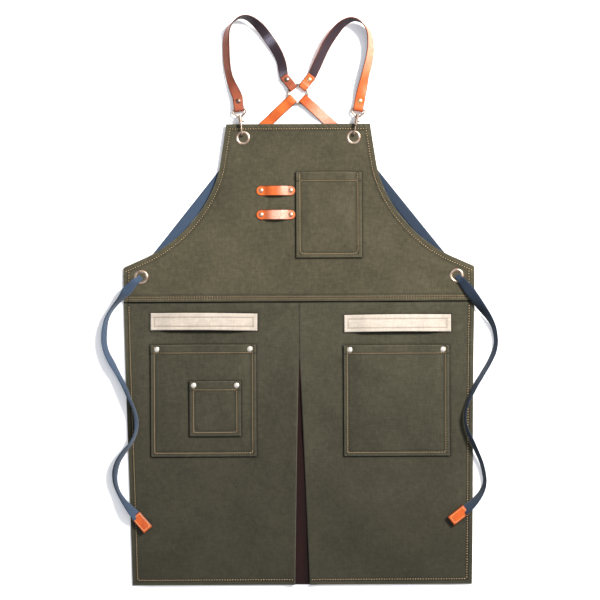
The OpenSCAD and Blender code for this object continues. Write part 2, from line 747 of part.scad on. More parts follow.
// The tip is leather folded over the end of the tie and sewn through it.
module tie_tip(side) {
  route = smooth(webbing_route(side), webbing_steps);
  c = [for (p = route) middle_of(p)];
  end = c[len(c) - 1];
  t = run_at(c, len(c) - 1);
  r = 3;
  color(leather_color) placed() translate(end) rotate([0, 0, atan2(t.y, t.x)])
    translate([0.02, 0, -tip_t / 2]) linear_extrude(tip_t) union() {
      translate([0, -webbing_w / 2 - 0.5]) square([tip_l - r, webbing_w + 1]);
      translate([0, -webbing_w / 2 - 0.5 + r]) square([tip_l, webbing_w + 1 - 2 * r]);
      for (s = [-1, 1]) translate([tip_l - r, s * (webbing_w / 2 + 0.5 - r)]) circle(r = r);
    }
}

module left_rear_webbing() { rear_webbing(-1); }
module right_rear_webbing() { rear_webbing(1); }
module left_tie() { tie(-1); }
module right_tie() { tie(1); }
module left_tie_tip() { tie_tip(-1); }
module right_tie_tip() { tie_tip(1); }

bib();
left_skirt();
right_skirt();
pleat_underlay();
chest_pocket();
left_pocket();
right_pocket();
small_pocket();
left_tool_strap();
right_tool_strap();
upper_pen_loop();
lower_pen_loop();
pen_loop_rivets();
left_pocket_rivets();
right_pocket_rivets();
small_pocket_rivets();
left_neck_eyelet();
right_neck_eyelet();
left_waist_eyelet();
right_waist_eyelet();
left_neck_washer();
right_neck_washer();
left_waist_washer();
right_waist_washer();
left_shoulder_strap();
right_shoulder_strap();
left_strap_rivets();
right_strap_rivets();
left_hook_bail();
left_hook_body();
left_hook_bolt();
left_bolt_spring();
right_hook_bail();
right_hook_body();
right_hook_bolt();
right_bolt_spring();
back_ring();
left_back_strap();
right_back_strap();
left_rear_webbing();
right_rear_webbing();
left_tie();
right_tie();
left_tie_tip();
right_tie_tip();
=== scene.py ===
import bpy, bmesh, math
import numpy as np
from mathutils import Matrix, Vector
from mathutils.bvhtree import BVHTree


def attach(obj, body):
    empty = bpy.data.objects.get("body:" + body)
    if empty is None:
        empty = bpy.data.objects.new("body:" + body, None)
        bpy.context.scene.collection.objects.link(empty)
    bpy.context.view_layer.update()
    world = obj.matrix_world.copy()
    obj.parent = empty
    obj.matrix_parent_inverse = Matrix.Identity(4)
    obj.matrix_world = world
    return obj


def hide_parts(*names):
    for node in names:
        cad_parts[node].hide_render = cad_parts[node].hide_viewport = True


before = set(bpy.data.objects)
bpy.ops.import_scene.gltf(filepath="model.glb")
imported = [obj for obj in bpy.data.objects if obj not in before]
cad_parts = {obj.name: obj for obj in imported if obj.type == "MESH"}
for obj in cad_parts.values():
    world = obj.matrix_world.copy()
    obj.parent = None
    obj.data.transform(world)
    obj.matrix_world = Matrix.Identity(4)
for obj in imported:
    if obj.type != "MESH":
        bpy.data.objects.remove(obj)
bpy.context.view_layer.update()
scene = bpy.context.scene

# Lengths are in millimetres from the waist seam's middle, until a piece goes into its mesh.
mm = 0.001
seamShift = -5.6
apron = dict(bibTop=7.2, half=333, skirtLength=538, footHalf=321, slope=2.4 / 548, clothThick=1.5)
lowestTop = 1.62  # the skirt's upper face, so that its thickness stays above the floor


def smooth(t):
    t = np.clip(t, 0, 1)
    return t * t * (3 - 2 * t)


def bump(t):  # 1 at the middle, 0 from 1 outwards
    return smooth(1 - np.abs(t))


def inFrame(points):
    return (np.asarray(points, float) + [0, seamShift, 0]) * mm


def curve(rows, steps):  # a smooth line through the rows, evenly stepped between each two
    rows = np.asarray(rows, float)
    ends = np.vstack([2 * rows[0] - rows[1], rows, 2 * rows[-1] - rows[-2]])
    out = []
    for i in range(len(rows) - 1):
        a, b, c, d = ends[i:i + 4]
        for j in range(steps):
            t = j / steps
            square, cube = 2 * a - 5 * b + 4 * c - d, 3 * b - a - 3 * c + d
            out.append(0.5 * (2 * b + (c - a) * t + square * t ** 2 + cube * t ** 3))
    return np.array(out + [rows[-1]])


def evenly(line, step):  # the line again, with points a fixed step apart
    line = np.asarray(line, float)
    run = np.r_[0, np.cumsum(np.linalg.norm(np.diff(line[:, :3], axis=0), axis=1))]
    count = max(2, int(round(run[-1] / step)) + 1)
    at = np.linspace(0, run[-1], count)
    return np.stack([np.interp(at, run, line[:, k]) for k in range(line.shape[1])], 1)


def ripple(x, y, size, seed):  # slow, repeatable unevenness from -1 to 1
    rng = np.random.default_rng(seed)
    total = 0
    for k in range(7):
        turn, shift = rng.uniform(0, math.pi), rng.uniform(0, 6.28)
        length = size * rng.uniform(0.7, 1.6)
        total = total + np.sin((x * math.cos(turn) + y * math.sin(turn)) * 6.28 / length + shift)
    return total / 3.6


def awayFrom(x, y, line):  # distance to a line of points
    line = np.asarray(line, float)
    best = np.full(np.shape(x), 1e9)
    for a, b in zip(line[:-1], line[1:]):
        run = b - a
        t = np.clip(((x - a[0]) * run[0] + (y - a[1]) * run[1]) / max(run @ run, 1e-9), 0, 1)
        best = np.minimum(best, np.hypot(x - a[0] - t * run[0], y - a[1] - t * run[1]))
    return best


view = dict(height=3.1, across=1.14, middle=(0.0019, -0.0034), roll=-0.3)
cam = bpy.data.objects.new("camera", bpy.data.cameras.new("camera"))
cam.data.sensor_width = 36
cam.data.lens = 36 * view["height"] / view["across"]
cam.location = (*view["middle"], view["height"])
cam.rotation_euler = (0, 0, math.radians(view["roll"]))
scene.collection.objects.link(cam)
scene.camera = cam

light = dict(key=218, keyAt=(2.25, 1.88, 2.63), keySize=0.63, fill=5, sky=0.62, look="Medium High Contrast")


def lamp(name, at, power, size, tint):
    data = bpy.data.lights.new(name, "AREA")
    data.energy, data.size, data.color = power, size, tint
    obj = bpy.data.objects.new(name, data)
    obj.location = at
    obj.rotation_euler = (-Vector(at)).to_track_quat("-Z", "Y").to_euler()
    scene.collection.objects.link(obj)


lamp("key", light["keyAt"], light["key"], light["keySize"], (1, 0.97, 0.93))
lamp("fill", (-1.5, -0.6, 1.9), light["fill"], 1.6, (0.9, 0.95, 1))
scene.view_settings.view_transform = "Standard"
scene.view_settings.look = light["look"]


def newGroup(name, ins, outs):
    group = bpy.data.node_groups.new(name, "ShaderNodeTree")
    for label, kind, value in ins:
        s = group.interface.new_socket(name=label, in_out="INPUT", socket_type="NodeSocket" + kind)
        if value is not None:
            s.default_value = value
    for label, kind in outs:
        group.interface.new_socket(name=label, in_out="OUTPUT", socket_type="NodeSocket" + kind)
    tree = Nodes(group)
    tree.into = group.nodes.new("NodeGroupInput")
    tree.out = group.nodes.new("NodeGroupOutput")
    return group, tree


class Nodes:
    def __init__(self, tree):
        self.tree = tree

    def join(self, value, socket):
        if isinstance(value, bpy.types.NodeSocket):
            self.tree.links.new(value, socket)
        else:
            socket.default_value = value

    def add(self, kind, ins=None, **props):
        node = self.tree.nodes.new("ShaderNode" + kind)
        for k, v in props.items():
            setattr(node, k, v)
        for k, v in (ins or {}).items():
            self.join(v, node.inputs[k])
        return node

    def math(self, op, a, b=0.0, c=0.0, clamp=False):
        return self.add("Math", {0: a, 1: b, 2: c}, operation=op, use_clamp=clamp).outputs[0]

    def mix(self, t, a, b, how="MIX"):
        node = self.add("Mix", data_type="RGBA", blend_type=how)
        for value, i in ((t, 0), (a, 6), (b, 7)):
            self.join(value, node.inputs[i])
        return node.outputs[2]

    def span(self, value, lo, hi, a=0.0, b=1.0):
        ends = {"From Min": lo, "From Max": hi, "To Min": a, "To Max": b}
        return self.add("MapRange", {"Value": value, **ends}).outputs[0]

    def noise(self, where, scale, detail=3.0, rough=0.55):
        ins = {"Vector": where, "Scale": scale, "Detail": detail, "Roughness": rough}
        return self.add("TexNoise", ins).outputs["Fac"]

    def bumps(self, height, strength, distance, below=None):
        ins = {"Height": height, "Strength": strength, "Distance": distance}
        if below:
            ins["Normal"] = below
        return self.add("Bump", ins).outputs[0]

    def mark(self, name):  # a value that the mesh carries
        return self.add("Attribute", attribute_name=name).outputs["Fac"]


def weaveGroup():  # threads over and under each other, with a slanted twill line
    ins = [("Vector", "Vector", None), ("Threads", "Float", 900.0), ("Slant", "Float", 1.0)]
    group, n = newGroup("weave", ins, [("Height", "Float"), ("Shade", "Float")])
    i = n.into.outputs
    wobble = n.math("MULTIPLY", n.noise(i["Vector"], 260.0, 2.0), 0.9)
    xyz = n.add("SeparateXYZ", {0: i["Vector"]}).outputs
    x = n.math("ADD", n.math("MULTIPLY", xyz[0], i["Threads"]), wobble)
    y = n.math("MULTIPLY", xyz[1], i["Threads"])
    slant = n.math("SINE", n.math("MULTIPLY", n.math("ADD", x, n.math("MULTIPLY", y, i["Slant"])), 3.1416))
    warp = n.math("SINE", n.math("MULTIPLY", x, 6.2832))
    weft = n.math("SINE", n.math("MULTIPLY", y, 6.2832))
    crossed = n.math("MULTIPLY", warp, weft)
    total = n.math("ADD", n.math("MULTIPLY", slant, 0.5), n.math("MULTIPLY", crossed, 0.5))
    n.join(n.span(total, -1, 1), n.out.inputs["Height"])
    slubs = []
    for stretch in ((45.0, 400.0, 200.0), (360.0, 50.0, 200.0)):
        drawn = n.add("VectorMath", {0: i["Vector"], 1: stretch}, operation="MULTIPLY").outputs[0]
        slubs.append(n.noise(drawn, 1.0, 4.0))
    n.join(n.math("MULTIPLY", n.math("ADD", *slubs), 0.5), n.out.inputs["Shade"])
    return group


def grainGroup():  # pebbled leather with fine pores
    group, n = newGroup("leather grain", [("Vector", "Vector", None), ("Scale", "Float", 900.0)],
                        [("Height", "Float"), ("Tone", "Float")])
    i = n.into.outputs
    pebbles = {"Vector": i["Vector"], "Scale": i["Scale"]}
    cell = n.add("TexVoronoi", pebbles, feature="F1").outputs["Distance"]
    fine = n.noise(i["Vector"], 1600.0, 3.0)
    height = n.math("ADD", n.math("MULTIPLY", cell, -0.7), n.math("MULTIPLY", fine, 0.5))
    n.join(height, n.out.inputs["Height"])
    n.join(n.noise(i["Vector"], 45.0, 5.0, 0.6), n.out.inputs["Tone"])
    return group


def wearGroup():  # a mottled tarnish and fine streaked scratches
    ins = [("Vector", "Vector", None), ("Scale", "Float", 140.0)]
    group, n = newGroup("rubbed metal", ins, [("Tarnish", "Float"), ("Scratch", "Float")])
    i = n.into.outputs
    n.join(n.span(n.noise(i["Vector"], i["Scale"], 6.0, 0.7), 0.38, 0.62), n.out.inputs["Tarnish"])
    streak = n.add("VectorMath", {0: i["Vector"], 1: (1.0, 9.0, 4.0)}, operation="MULTIPLY").outputs[0]
    n.join(n.noise(streak, 700.0, 2.0), n.out.inputs["Scratch"])
    return group


weave, grain, rubbed = weaveGroup(), grainGroup(), wearGroup()

# The sky is bright overhead and towards the key light, and dark low down, so that metal shows its shape.
world = bpy.data.worlds.new("studio")
world.use_nodes = True
n = Nodes(world.node_tree)
towards = n.add("TexCoord").outputs["Generated"]
facing = n.add("VectorMath", {0: towards, 1: (0.52, 0.43, 0.74)}, operation="DOT_PRODUCT").outputs["Value"]
height = n.add("SeparateXYZ", {0: towards}).outputs[2]
sky = n.mix(n.span(height, 0.1, 0.75), (0.16, 0.17, 0.2, 1), (0.8, 0.85, 0.92, 1))
sky = n.mix(n.span(facing, 0.55, 0.95), sky, (1.5, 1.45, 1.4, 1))
sky = n.mix(n.add("LightPath").outputs["Is Camera Ray"], sky, (1.15, 1.17, 1.2, 1))
background = world.node_tree.nodes["Background"]
n.join(sky, background.inputs["Color"])
background.inputs["Strength"].default_value = light["sky"]
scene.world = world
print("camera and light")


def start(name, rough, metal=0.0, **fixed):
    mat = bpy.data.materials.new(name)
    mat.use_nodes = True
    shader = mat.node_tree.nodes["Principled BSDF"]
    shader.inputs["Roughness"].default_value = rough
    shader.inputs["Metallic"].default_value = metal
    for k, v in fixed.items():
        shader.inputs[k.replace("_", " ")].default_value = v
    return mat, Nodes(mat.node_tree), shader.inputs


def place(n, group, ins):
    node = n.add("Group")
    node.node_tree = group
    for k, v in ins.items():
        n.join(v, node.inputs[k])
    return node.outputs


def darker(tint, share):
    return (*(share * c for c in tint), 1)


def clothMaterial(name, tint, faded, threads, depth, slant=1.0, sheen=0.12, paintedHemShade=0.0):
    mat, n, into = start(name, 0.92, Sheen_Weight=sheen, Sheen_Roughness=0.6, Specular_IOR_Level=0.2)
    where = n.add("UVMap", uv_map="cloth").outputs[0]
    body = n.add("TexCoord").outputs["Object"]
    w = place(n, weave, {"Vector": where, "Threads": threads, "Slant": slant})
    patchy = n.noise(body, 7.0, 5.0, 0.6)
    mottle = n.noise(body, 120.0, 5.0, 0.75)
    fade = n.math("ADD", n.math("MULTIPLY", patchy, 0.5), n.math("MULTIPLY", mottle, 0.5))
    color = n.mix(n.span(fade, 0.36, 0.64), (*tint, 1), (*faded, 1))
    # painted shade: the colour darkens towards the hem, standing in for the light falling off there
    low = n.span(n.add("SeparateXYZ", {0: body}).outputs[1], -0.08, -0.5, 0.0, paintedHemShade)
    color = n.mix(low, color, darker(tint, 0.35))
    rubbing = n.math("MULTIPLY", n.mark("worn"), n.span(n.noise(body, 210.0, 4.0), 0.3, 0.7, 0.3, 1.0))
    rubbedPale = (*(min(1, 1.7 * c + 0.012) for c in faded), 1)
    color = n.mix(n.math("MULTIPLY", rubbing, 0.5), color, rubbedPale)
    color = n.mix(n.span(w["Shade"], 0.38, 0.62, 0.0, 0.3), color, darker(tint, 0.5))
    # painted shade in the weave's hollows, then painted shade from the mesh's shade marks
    color = n.mix(n.span(w["Height"], 0.0, 0.6, 0.28, 0.0), color, darker(tint, 0.4))
    color = n.mix(n.math("MULTIPLY", n.mark("shade"), 0.9), color, darker(tint, 0.2))
    n.join(color, into["Base Color"])
    folds = n.bumps(n.noise(body, 48.0, 6.0, 0.6), 0.6, 0.002)
    n.join(n.bumps(w["Height"], 0.8, depth, folds), into["Normal"])
    return mat


def leatherMaterial(name, tint, deep, under):
    mat, n, into = start(name, 0.4, Coat_Weight=0.25, Coat_Roughness=0.28)
    body = n.add("TexCoord").outputs["Object"]
    g = place(n, grain, {"Vector": body, "Scale": 850.0})
    front = n.span(n.mark("front"), 0.45, 0.55)
    color = n.mix(n.span(g["Tone"], 0.3, 0.7), (*tint, 1), (*deep, 1))
    rough = n.mix(n.span(n.noise(body, 900.0, 4.0), 0.35, 0.65), (*under, 1), darker(under, 0.6))
    color = n.mix(front, rough, color)
    # painted highlight: a pale peach on the grain side and a pale grey-blue on the flesh side
    paintedHighlight = n.mix(front, (0.34, 0.33, 0.42, 1), (0.70, 0.45, 0.36, 1))
    paleAndPaintedLight = n.math("MULTIPLY", n.mark("paleAndPaintedLight"), n.span(n.noise(body, 260.0, 4.0), 0.3, 0.6, 0.55, 1.0))
    color = n.mix(paleAndPaintedLight, color, paintedHighlight)
    # the band's edges and ends are darker: partly the cut edge's own colour, partly painted shade on its
    # thickness
    cut = n.math("MULTIPLY", n.mark("rim"), n.span(n.noise(body, 300.0, 3.0), 0.3, 0.7, 0.75, 0.95))
    color = n.mix(cut, color, darker(deep, 0.3))
    n.join(color, into["Base Color"])
    dull = n.span(g["Tone"], 0.3, 0.7, 0.62, 0.76)
    n.join(n.math("ADD", n.math("MULTIPLY", front, -0.28), dull), into["Roughness"])
    n.join(n.bumps(g["Height"], 0.35, 0.00035), into["Normal"])
    return mat


def metalMaterial(name, tint, tarnish, rough, cover):
    mat, n, into = start(name, rough, 1.0)
    body = n.add("TexCoord").outputs["Object"]
    r = place(n, rubbed, {"Vector": body})
    n.join(n.mix(n.math("MULTIPLY", r["Tarnish"], cover), (*tint, 1), (*tarnish, 1)), into["Base Color"])
    brushed = n.span(r["Scratch"], 0.3, 0.7, rough - 0.06, rough + 0.08)
    n.join(n.math("ADD", n.math("MULTIPLY", r["Tarnish"], 0.18), brushed), into["Roughness"])
    n.join(n.bumps(r["Scratch"], 0.12, 0.0001), into["Normal"])
    return mat


def webbingMaterial(name, tint, paleAndPaintedLight):
    mat, n, into = start(name, 0.85, Sheen_Weight=0.25, Sheen_Roughness=0.5, Specular_IOR_Level=0.25)
    where = n.add("UVMap", uv_map="cloth").outputs[0]
    xyz = n.add("SeparateXYZ", {0: where}).outputs
    ribs = n.math("SINE", n.math("MULTIPLY", xyz[1], 6.2832 / 0.0017))
    offset = n.math("MULTIPLY", n.math("SIGN", ribs), 1.57)
    along = n.math("SINE", n.math("ADD", n.math("MULTIPLY", xyz[0], 6.2832 / 0.0024), offset))
    height = n.math("ADD", n.math("MULTIPLY", ribs, 0.3), n.math("MULTIPLY", along, 0.2))
    speckle = n.noise(where, 900.0, 3.0)
    tone = n.math("ADD", n.math("MULTIPLY", height, 0.5), speckle)
    # painted shade: darker in the weave's hollows and paler on its tops, with a random speckle
    color = n.mix(n.span(tone, 0.2, 0.85), (*tint, 1), (*paleAndPaintedLight, 1))
    color = n.mix(n.math("MULTIPLY", n.mark("paleAndPaintedLight"), 0.95), color, darker(tint, 0.3))  # the side in shade
    n.join(color, into["Base Color"])
    n.join(n.bumps(height, 0.7, 0.0005), into["Normal"])
    return mat


def threadMaterial(name, tint, deep):
    mat, n, into = start(name, 0.6, Sheen_Weight=0.2)
    body = n.add("TexCoord").outputs["Object"]
    n.join(n.mix(n.span(n.noise(body, 420.0, 3.0), 0.35, 0.65), (*tint, 1), (*deep, 1)), into["Base Color"])
    n.join(n.bumps(n.noise(body, 2600.0, 2.0), 0.5, 0.0002), into["Normal"])
    return mat


finishes = {}
for name, settings in {  # dark and faded color, threads a metre, depth, slant, sheen, painted shade darkening downwards
    "bib canvas": ((0.064, 0.058, 0.036), (0.122, 0.108, 0.070), 900.0, 0.00035),
    "skirt canvas": ((0.053, 0.050, 0.033), (0.100, 0.092, 0.062), 900.0, 0.00035, 1.0, 0.12, 0.5),
    # the pleat's inside: the canvas painted dark as shade
    "pleat canvas": ((0.022, 0.006, 0.005), (0.036, 0.011, 0.009), 900.0, 0.00035),
    "cream canvas": ((0.53, 0.458, 0.385), (0.647, 0.579, 0.506), 1100.0, 0.0003, 0.0, 0.1),
}.items():
    finishes[name] = clothMaterial(name, *settings)
for name, settings in {  # grain side, its dark patches, flesh side
    "orange leather": ((0.66, 0.155, 0.022), (0.46, 0.082, 0.012), (0.05, 0.026, 0.035)),
    "tip leather": ((0.60, 0.125, 0.012), (0.40, 0.065, 0.008), (0.05, 0.026, 0.035)),
    # the orange leather again, darker as painted shade
    "brown leather": ((0.38, 0.10, 0.045), (0.22, 0.055, 0.026), (0.045, 0.024, 0.034)),
}.items():
    finishes[name] = leatherMaterial(name, *settings)
for name, settings in {  # hollows and tops of the weave
    "blue webbing": ((0.022, 0.038, 0.070), (0.088, 0.130, 0.195)),
    "navy webbing": ((0.012, 0.020, 0.036), (0.055, 0.080, 0.120)),
}.items():
    finishes[name] = webbingMaterial(name, *settings)
for name, settings in {
    "gold thread": ((0.88, 0.63, 0.36), (0.60, 0.39, 0.19)),
    "rust thread": ((0.62, 0.40, 0.22), (0.40, 0.22, 0.11)),
    "cream thread": ((0.42, 0.33, 0.25), (0.26, 0.20, 0.15)),
}.items():
    finishes[name] = threadMaterial(name, *settings)
for name, settings in {  # bright metal, tarnish, roughness, how much of it is tarnished
    "bright steel": ((0.92, 0.88, 0.82), (0.50, 0.42, 0.35), 0.24, 0.5),
    "nickel": ((0.80, 0.75, 0.68), (0.52, 0.46, 0.40), 0.42, 0.5),
    "copper": ((0.66, 0.42, 0.32), (0.34, 0.17, 0.11), 0.36, 0.6),
    "gilt brass": ((0.90, 0.62, 0.36), (0.45, 0.24, 0.11), 0.28, 0.5),
    "aged brass": ((0.74, 0.60, 0.48), (0.20, 0.12, 0.085), 0.27, 0.85),
    "hook bronze": ((0.60, 0.49, 0.40), (0.15, 0.095, 0.07), 0.27, 0.85),
    "dark bronze": ((0.42, 0.28, 0.22), (0.09, 0.06, 0.05), 0.3, 0.8),
}.items():
    finishes[name] = metalMaterial(name, *settings)
print("materials")


def finish(obj, node):  # every new piece is part of the apron itself
    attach(obj, "apron")
    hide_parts(node)


def floats(mesh, name, values):
    mesh.attributes.new(name, "FLOAT", "POINT").data.foreach_set("value", np.asarray(values, np.float32))


def makeObject(name, mesh, look):
    obj = bpy.data.objects.new("fine_" + name.replace(" ", "_"), mesh)
    mesh.materials.append(finishes[look])
    mesh.polygons.foreach_set("use_smooth", [True] * len(mesh.polygons))
    scene.collection.objects.link(obj)
    return obj


def makeSheet(name, across, along, lay, look, thick=None):
    bm = bmesh.new()
    bmesh.ops.create_grid(bm, x_segments=across, y_segments=along, size=0.5)
    mesh = bpy.data.meshes.new(name)
    bm.to_mesh(mesh)
    bm.free()
    co = np.empty(len(mesh.vertices) * 3)
    mesh.vertices.foreach_get("co", co)
    co = co.reshape(-1, 3)
    points, cloth, worn, shade = lay(co[:, 0] + 0.5, co[:, 1] + 0.5)
    mesh.vertices.foreach_set("co", inFrame(points).ravel())
    loops = np.empty(len(mesh.loops), int)
    mesh.loops.foreach_get("vertex_index", loops)
    mesh.uv_layers.new(name="cloth").data.foreach_set("uv", (cloth[loops] * mm).ravel())
    floats(mesh, "worn", worn)
    floats(mesh, "shade", shade)
    obj = makeObject(name, mesh, look)
    solid = obj.modifiers.new("thickness", "SOLIDIFY")
    solid.thickness = (thick or apron["clothThick"]) * mm
    solid.offset = -1
    return obj


def topOf(*pieces):  # the height of the pieces' own upper faces at any place
    trees = []
    for obj in pieces:
        mesh = obj.data
        trees.append(BVHTree.FromPolygons([v.co for v in mesh.vertices], [p.vertices for p in mesh.polygons]))

    def height(x, y):
        found = []
        for px, py in zip(*np.broadcast_arrays(np.atleast_1d(x), np.atleast_1d(y))):
            spot = Vector((px * mm, (py + seamShift) * mm, 0.2))
            hits = [tree.ray_cast(spot, Vector((0, 0, -1)))[0] for tree in trees]
            found.append(max([h.z for h in hits if h is not None], default=0.004) / mm)
        return np.array(found)
    return height


def crowd(t, width, band, share):  # spreads 0 to 1 with that share of the steps in a band at either end
    e = band / width
    middle = e + (t - share) / (1 - 2 * share) * (1 - 2 * e)
    return np.where(t < share, t / share * e, np.where(t > 1 - share, 1 - (1 - t) / share * e, middle))


# The armhole's curve runs between its first and last points, towards the two pulls between them.
canvas = dict(earTop=65, topHalf=136.3, height=336, hem=11, sag=0.8,
              armhole=((147, 266), (157, 196), (213, 119), (290, 84)))
eyelets = dict(neck=(105, 310), waist=(299, 47))


def armhole():
    t = np.linspace(0, 1, 80)[:, None]
    a, b, c, d = np.array(canvas["armhole"], float)
    return a * (1 - t) ** 3 + 3 * b * (1 - t) ** 2 * t + 3 * c * (1 - t) * t ** 2 + d * t ** 3


ear = [[apron["half"], canvas["earTop"]], [apron["half"], 0]]
side = np.vstack([[[canvas["topHalf"], canvas["height"]]], armhole(), ear])


def bibHalf(y):
    return np.interp(y, side[::-1, 1], side[::-1, 0])


def bibTopAt(x, y):  # height of the bib's upper face
    far = awayFrom(np.abs(x), y, side)
    near = np.min([np.hypot(np.abs(x) - ex, y - ey) for ex, ey in eyelets.values()], 0)
    firm = smooth((near - 17) / 22)
    drop = np.interp(y, [0, 30, 66, 90, 150, 235, 268, 336], [3.6, 4.3, 4.3, 2.6, 2.2, 0.9, 0.8, 0.4])
    wave = canvas["sag"] * ripple(x, y, 150, 3) + 0.25 * ripple(x, y, 55, 5)
    pull = 0.9 * bump((np.abs(x) - 236) / 60) * np.sin((np.abs(x) * 0.45 + y) / 13) * bump((y - 62) / 55)
    level = apron["bibTop"] - drop * smooth(1 - far / 34) * firm
    return level + (wave + pull) * firm * smooth(far / 12 + 0.25)


def skirtHalf(y):
    return apron["half"] + (apron["half"] - apron["footHalf"]) * y / apron["skirtLength"]


def lean(x, y):  # the skirt's foot lies a little to the right
    return x + np.where(x > 0, 4.4, 2.3) * smooth((-y - 60) / 474) * np.abs(x) / apron["footHalf"]


def skirtTopAt(x, y):  # height of the skirt's upper face, y below the seam
    far = skirtHalf(y) - np.abs(x)
    level = 3.2 + (y + apron["skirtLength"]) * apron["slope"]
    wave = 0.7 * ripple(x, y * 0.5, 130, 8) + 0.3 * ripple(x, y, 60, 9)
    drop = (level - 1.9) * smooth(1 - far / 40)
    creased = bump((np.abs(x) - 250) / 90) * bump((y + 62) / 60)
    crease = 0.9 * creased * np.sin((y * 0.8 - np.abs(x) * 0.25) / 12)
    return level - drop + (wave + crease) * smooth(far / 12 + 0.2) * smooth((y + 534) / 30 + 0.3)


def under(x, y):
    return np.where(y > 0, bibTopAt(x, y), skirtTopAt(x, y))


pockets = {
    "chest pocket": dict(x=57.5, foot=82, wide=125, tall=162, puff=4.6, inset=7.5,
                         hem=16, cut=5, on="bib", seed=12),
    "left pocket": dict(x=-182, foot=-294, wide=200, tall=212, puff=4.2, inset=7,
                        hem=15, cut=0, on="left_skirt", seed=11),
    "right pocket": dict(x=184, foot=-294.5, wide=200, tall=210, puff=4.2, inset=7,
                         hem=15, cut=0, on="right_skirt", seed=12),
    "small pocket": dict(x=-159.8, foot=-255.5, wide=98, tall=104.5, puff=2.6, inset=8,
                         hem=16, cut=0, on="left_pocket", seed=12),
}
toolStraps = dict(wide=203, tall=33, rise=6.2, foot=11, thick=2.2, inset=8)
strapSpots = {"left": dict(x=-180.6, y=-38.6, lean=-0.55), "right": dict(x=186.6, y=-43.0, lean=0.1)}
sewnOn = {"left_pocket": [], "apron": []}
for s in strapSpots.values():
    sewnOn["apron"].append((s["x"], s["y"], toolStraps["wide"], toolStraps["tall"]))
for p in pockets.values():
    below = p["on"] if p["on"] in sewnOn else "apron"
    sewnOn[below].append((p["x"], p["foot"] + p["tall"] / 2, p["wide"], p["tall"]))


def paintedShadeBeside(x, y, below="apron"):  # painted shade on the cloth beside whatever is sewn on it
    dark = np.zeros(np.shape(x))
    for cx, cy, w, h in sewnOn[below]:
        gap = np.hypot(np.maximum(np.abs(x - cx) - w / 2, 0), np.maximum(np.abs(y - cy) - h / 2, 0))
        dark = np.maximum(dark, 0.75 * np.exp(-(gap / 2.6) ** 2))
    return dark


def mark(at, middle, reach):  # a narrow soft mark along a line of the cloth
    return np.exp(-((at - middle) / reach) ** 2)


def edgeMarks(d, hem):  # wear on a folded edge, and painted shade in the hollow where it is sewn
    worn = np.clip(1.1 - d / 2.2, 0, 0.8) + 0.15 * mark(d, hem - 5.5, 2.4)
    shade = 0.6 * mark(d, hem - 2.2, 1.5) + 0.3 * mark(d, hem + 1.5, 1.5)
    return worn, shade


def hemRise(d, hem, thick):
    return thick * (1 - smooth((d - hem + 1.5) / 3.5)) - 0.45 * mark(d, hem - 2.2, 1.3)


def pucker(along, d, hem, size=0.28):  # little gathers that the stitches pull into a hem
    gathers = np.sin(along * 6.28 / 9.0 + 2.0 * np.sin(along / 17.0))
    return size * gathers * mark(d, hem * 0.5, hem * 0.6)


threads = dict(pitch=4.9, length=2.3, width=1.5, height=0.9)


def sewLines(name, lines, look, over, lift=0.22, **other):  # stitches along lines that lie on the cloth below
    pitch, length, width = (other.get(k, threads[k]) for k in ("pitch", "length", "width"))
    bm = bmesh.new()
    rng = np.random.default_rng(len(name))
    for line in lines:
        line = np.asarray(line, float)
        if line.shape[1] == 2:
            dense = evenly(line, 1.0)
            line = np.c_[dense, over(dense[:, 0], dense[:, 1])]
        points = evenly(line, pitch)
        for p, q in zip(points[:-1], points[1:]):
            middle, run = (p + q) / 2, q - p
            turn = math.atan2(run[1], run[0]) + rng.normal(0, 0.05)
            pitchUp = -math.atan2(run[2], np.hypot(run[0], run[1]))
            middle = middle + [rng.normal(0, 0.07), rng.normal(0, 0.07), lift]
            m = Matrix.Translation(Vector(inFrame(middle)))
            m = m @ Matrix.Rotation(turn, 4, "Z") @ Matrix.Rotation(pitchUp, 4, "Y")
            size = (length * rng.uniform(0.9, 1.06), width, threads["height"])
            m = m @ Matrix.Diagonal((*(s * mm for s in size), 1))
            bmesh.ops.create_icosphere(bm, subdivisions=1, radius=0.5, matrix=m)
    mesh = bpy.data.meshes.new(name)
    bm.to_mesh(mesh)
    bm.free()
    obj = makeObject(name, mesh, look)
    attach(obj, "apron")
    return obj


def rowsAt(v, *bands):  # a grid's rows, closer together in some bands: start, end and count of each
    stops = np.unique(np.concatenate([np.linspace(*band) for band in bands]))
    return np.interp(v, np.linspace(0, 1, len(stops)), stops)


waistSeams = (5.0, 8.8)


def layBib(u, v):
    y = rowsAt(v, (0, 14, 18), (14, 65, 22), (65, 84, 12), (84, 266, 70), (266, 318, 20), (318, 336, 20))
    x = (crowd(u, 2 * bibHalf(y), 20, 0.11) - 0.5) * 2 * bibHalf(y)
    d = np.minimum(awayFrom(np.abs(x), y, side), canvas["height"] - y)
    z = bibTopAt(x, y) + hemRise(d, canvas["hem"], 0.5) + pucker(x + y, d, canvas["hem"])
    z += 0.8 * mark(y, 5, 7) - 0.35 * sum(mark(y, seam, 1.2) for seam in waistSeams)
    worn, shade = edgeMarks(d, canvas["hem"])
    worn = np.maximum(worn, 0.12 * mark(y, 7, 3)) + 0.5 * np.clip(1 - y / 2, 0, 1)
    # painted shade in lines along the waist seam
    shade = np.maximum(shade, np.maximum(0.45 * mark(y, 12.8, 1.5), 0.4 * mark(y, 6.9, 1.0)))
    return np.stack([x, y, z], 1), np.stack([x, y], 1), worn, np.maximum(shade, paintedShadeBeside(x, y))


bib = makeSheet("bib", 250, 158, layBib, "bib canvas")
finish(bib, "bib")


def inset(line, gap):  # the outline moved inwards
    line = evenly(line, 2.0)
    run = np.gradient(line, axis=0)
    run /= np.linalg.norm(run, axis=1)[:, None]
    return line + gap * np.stack([run[:, 1], -run[:, 0]], 1)


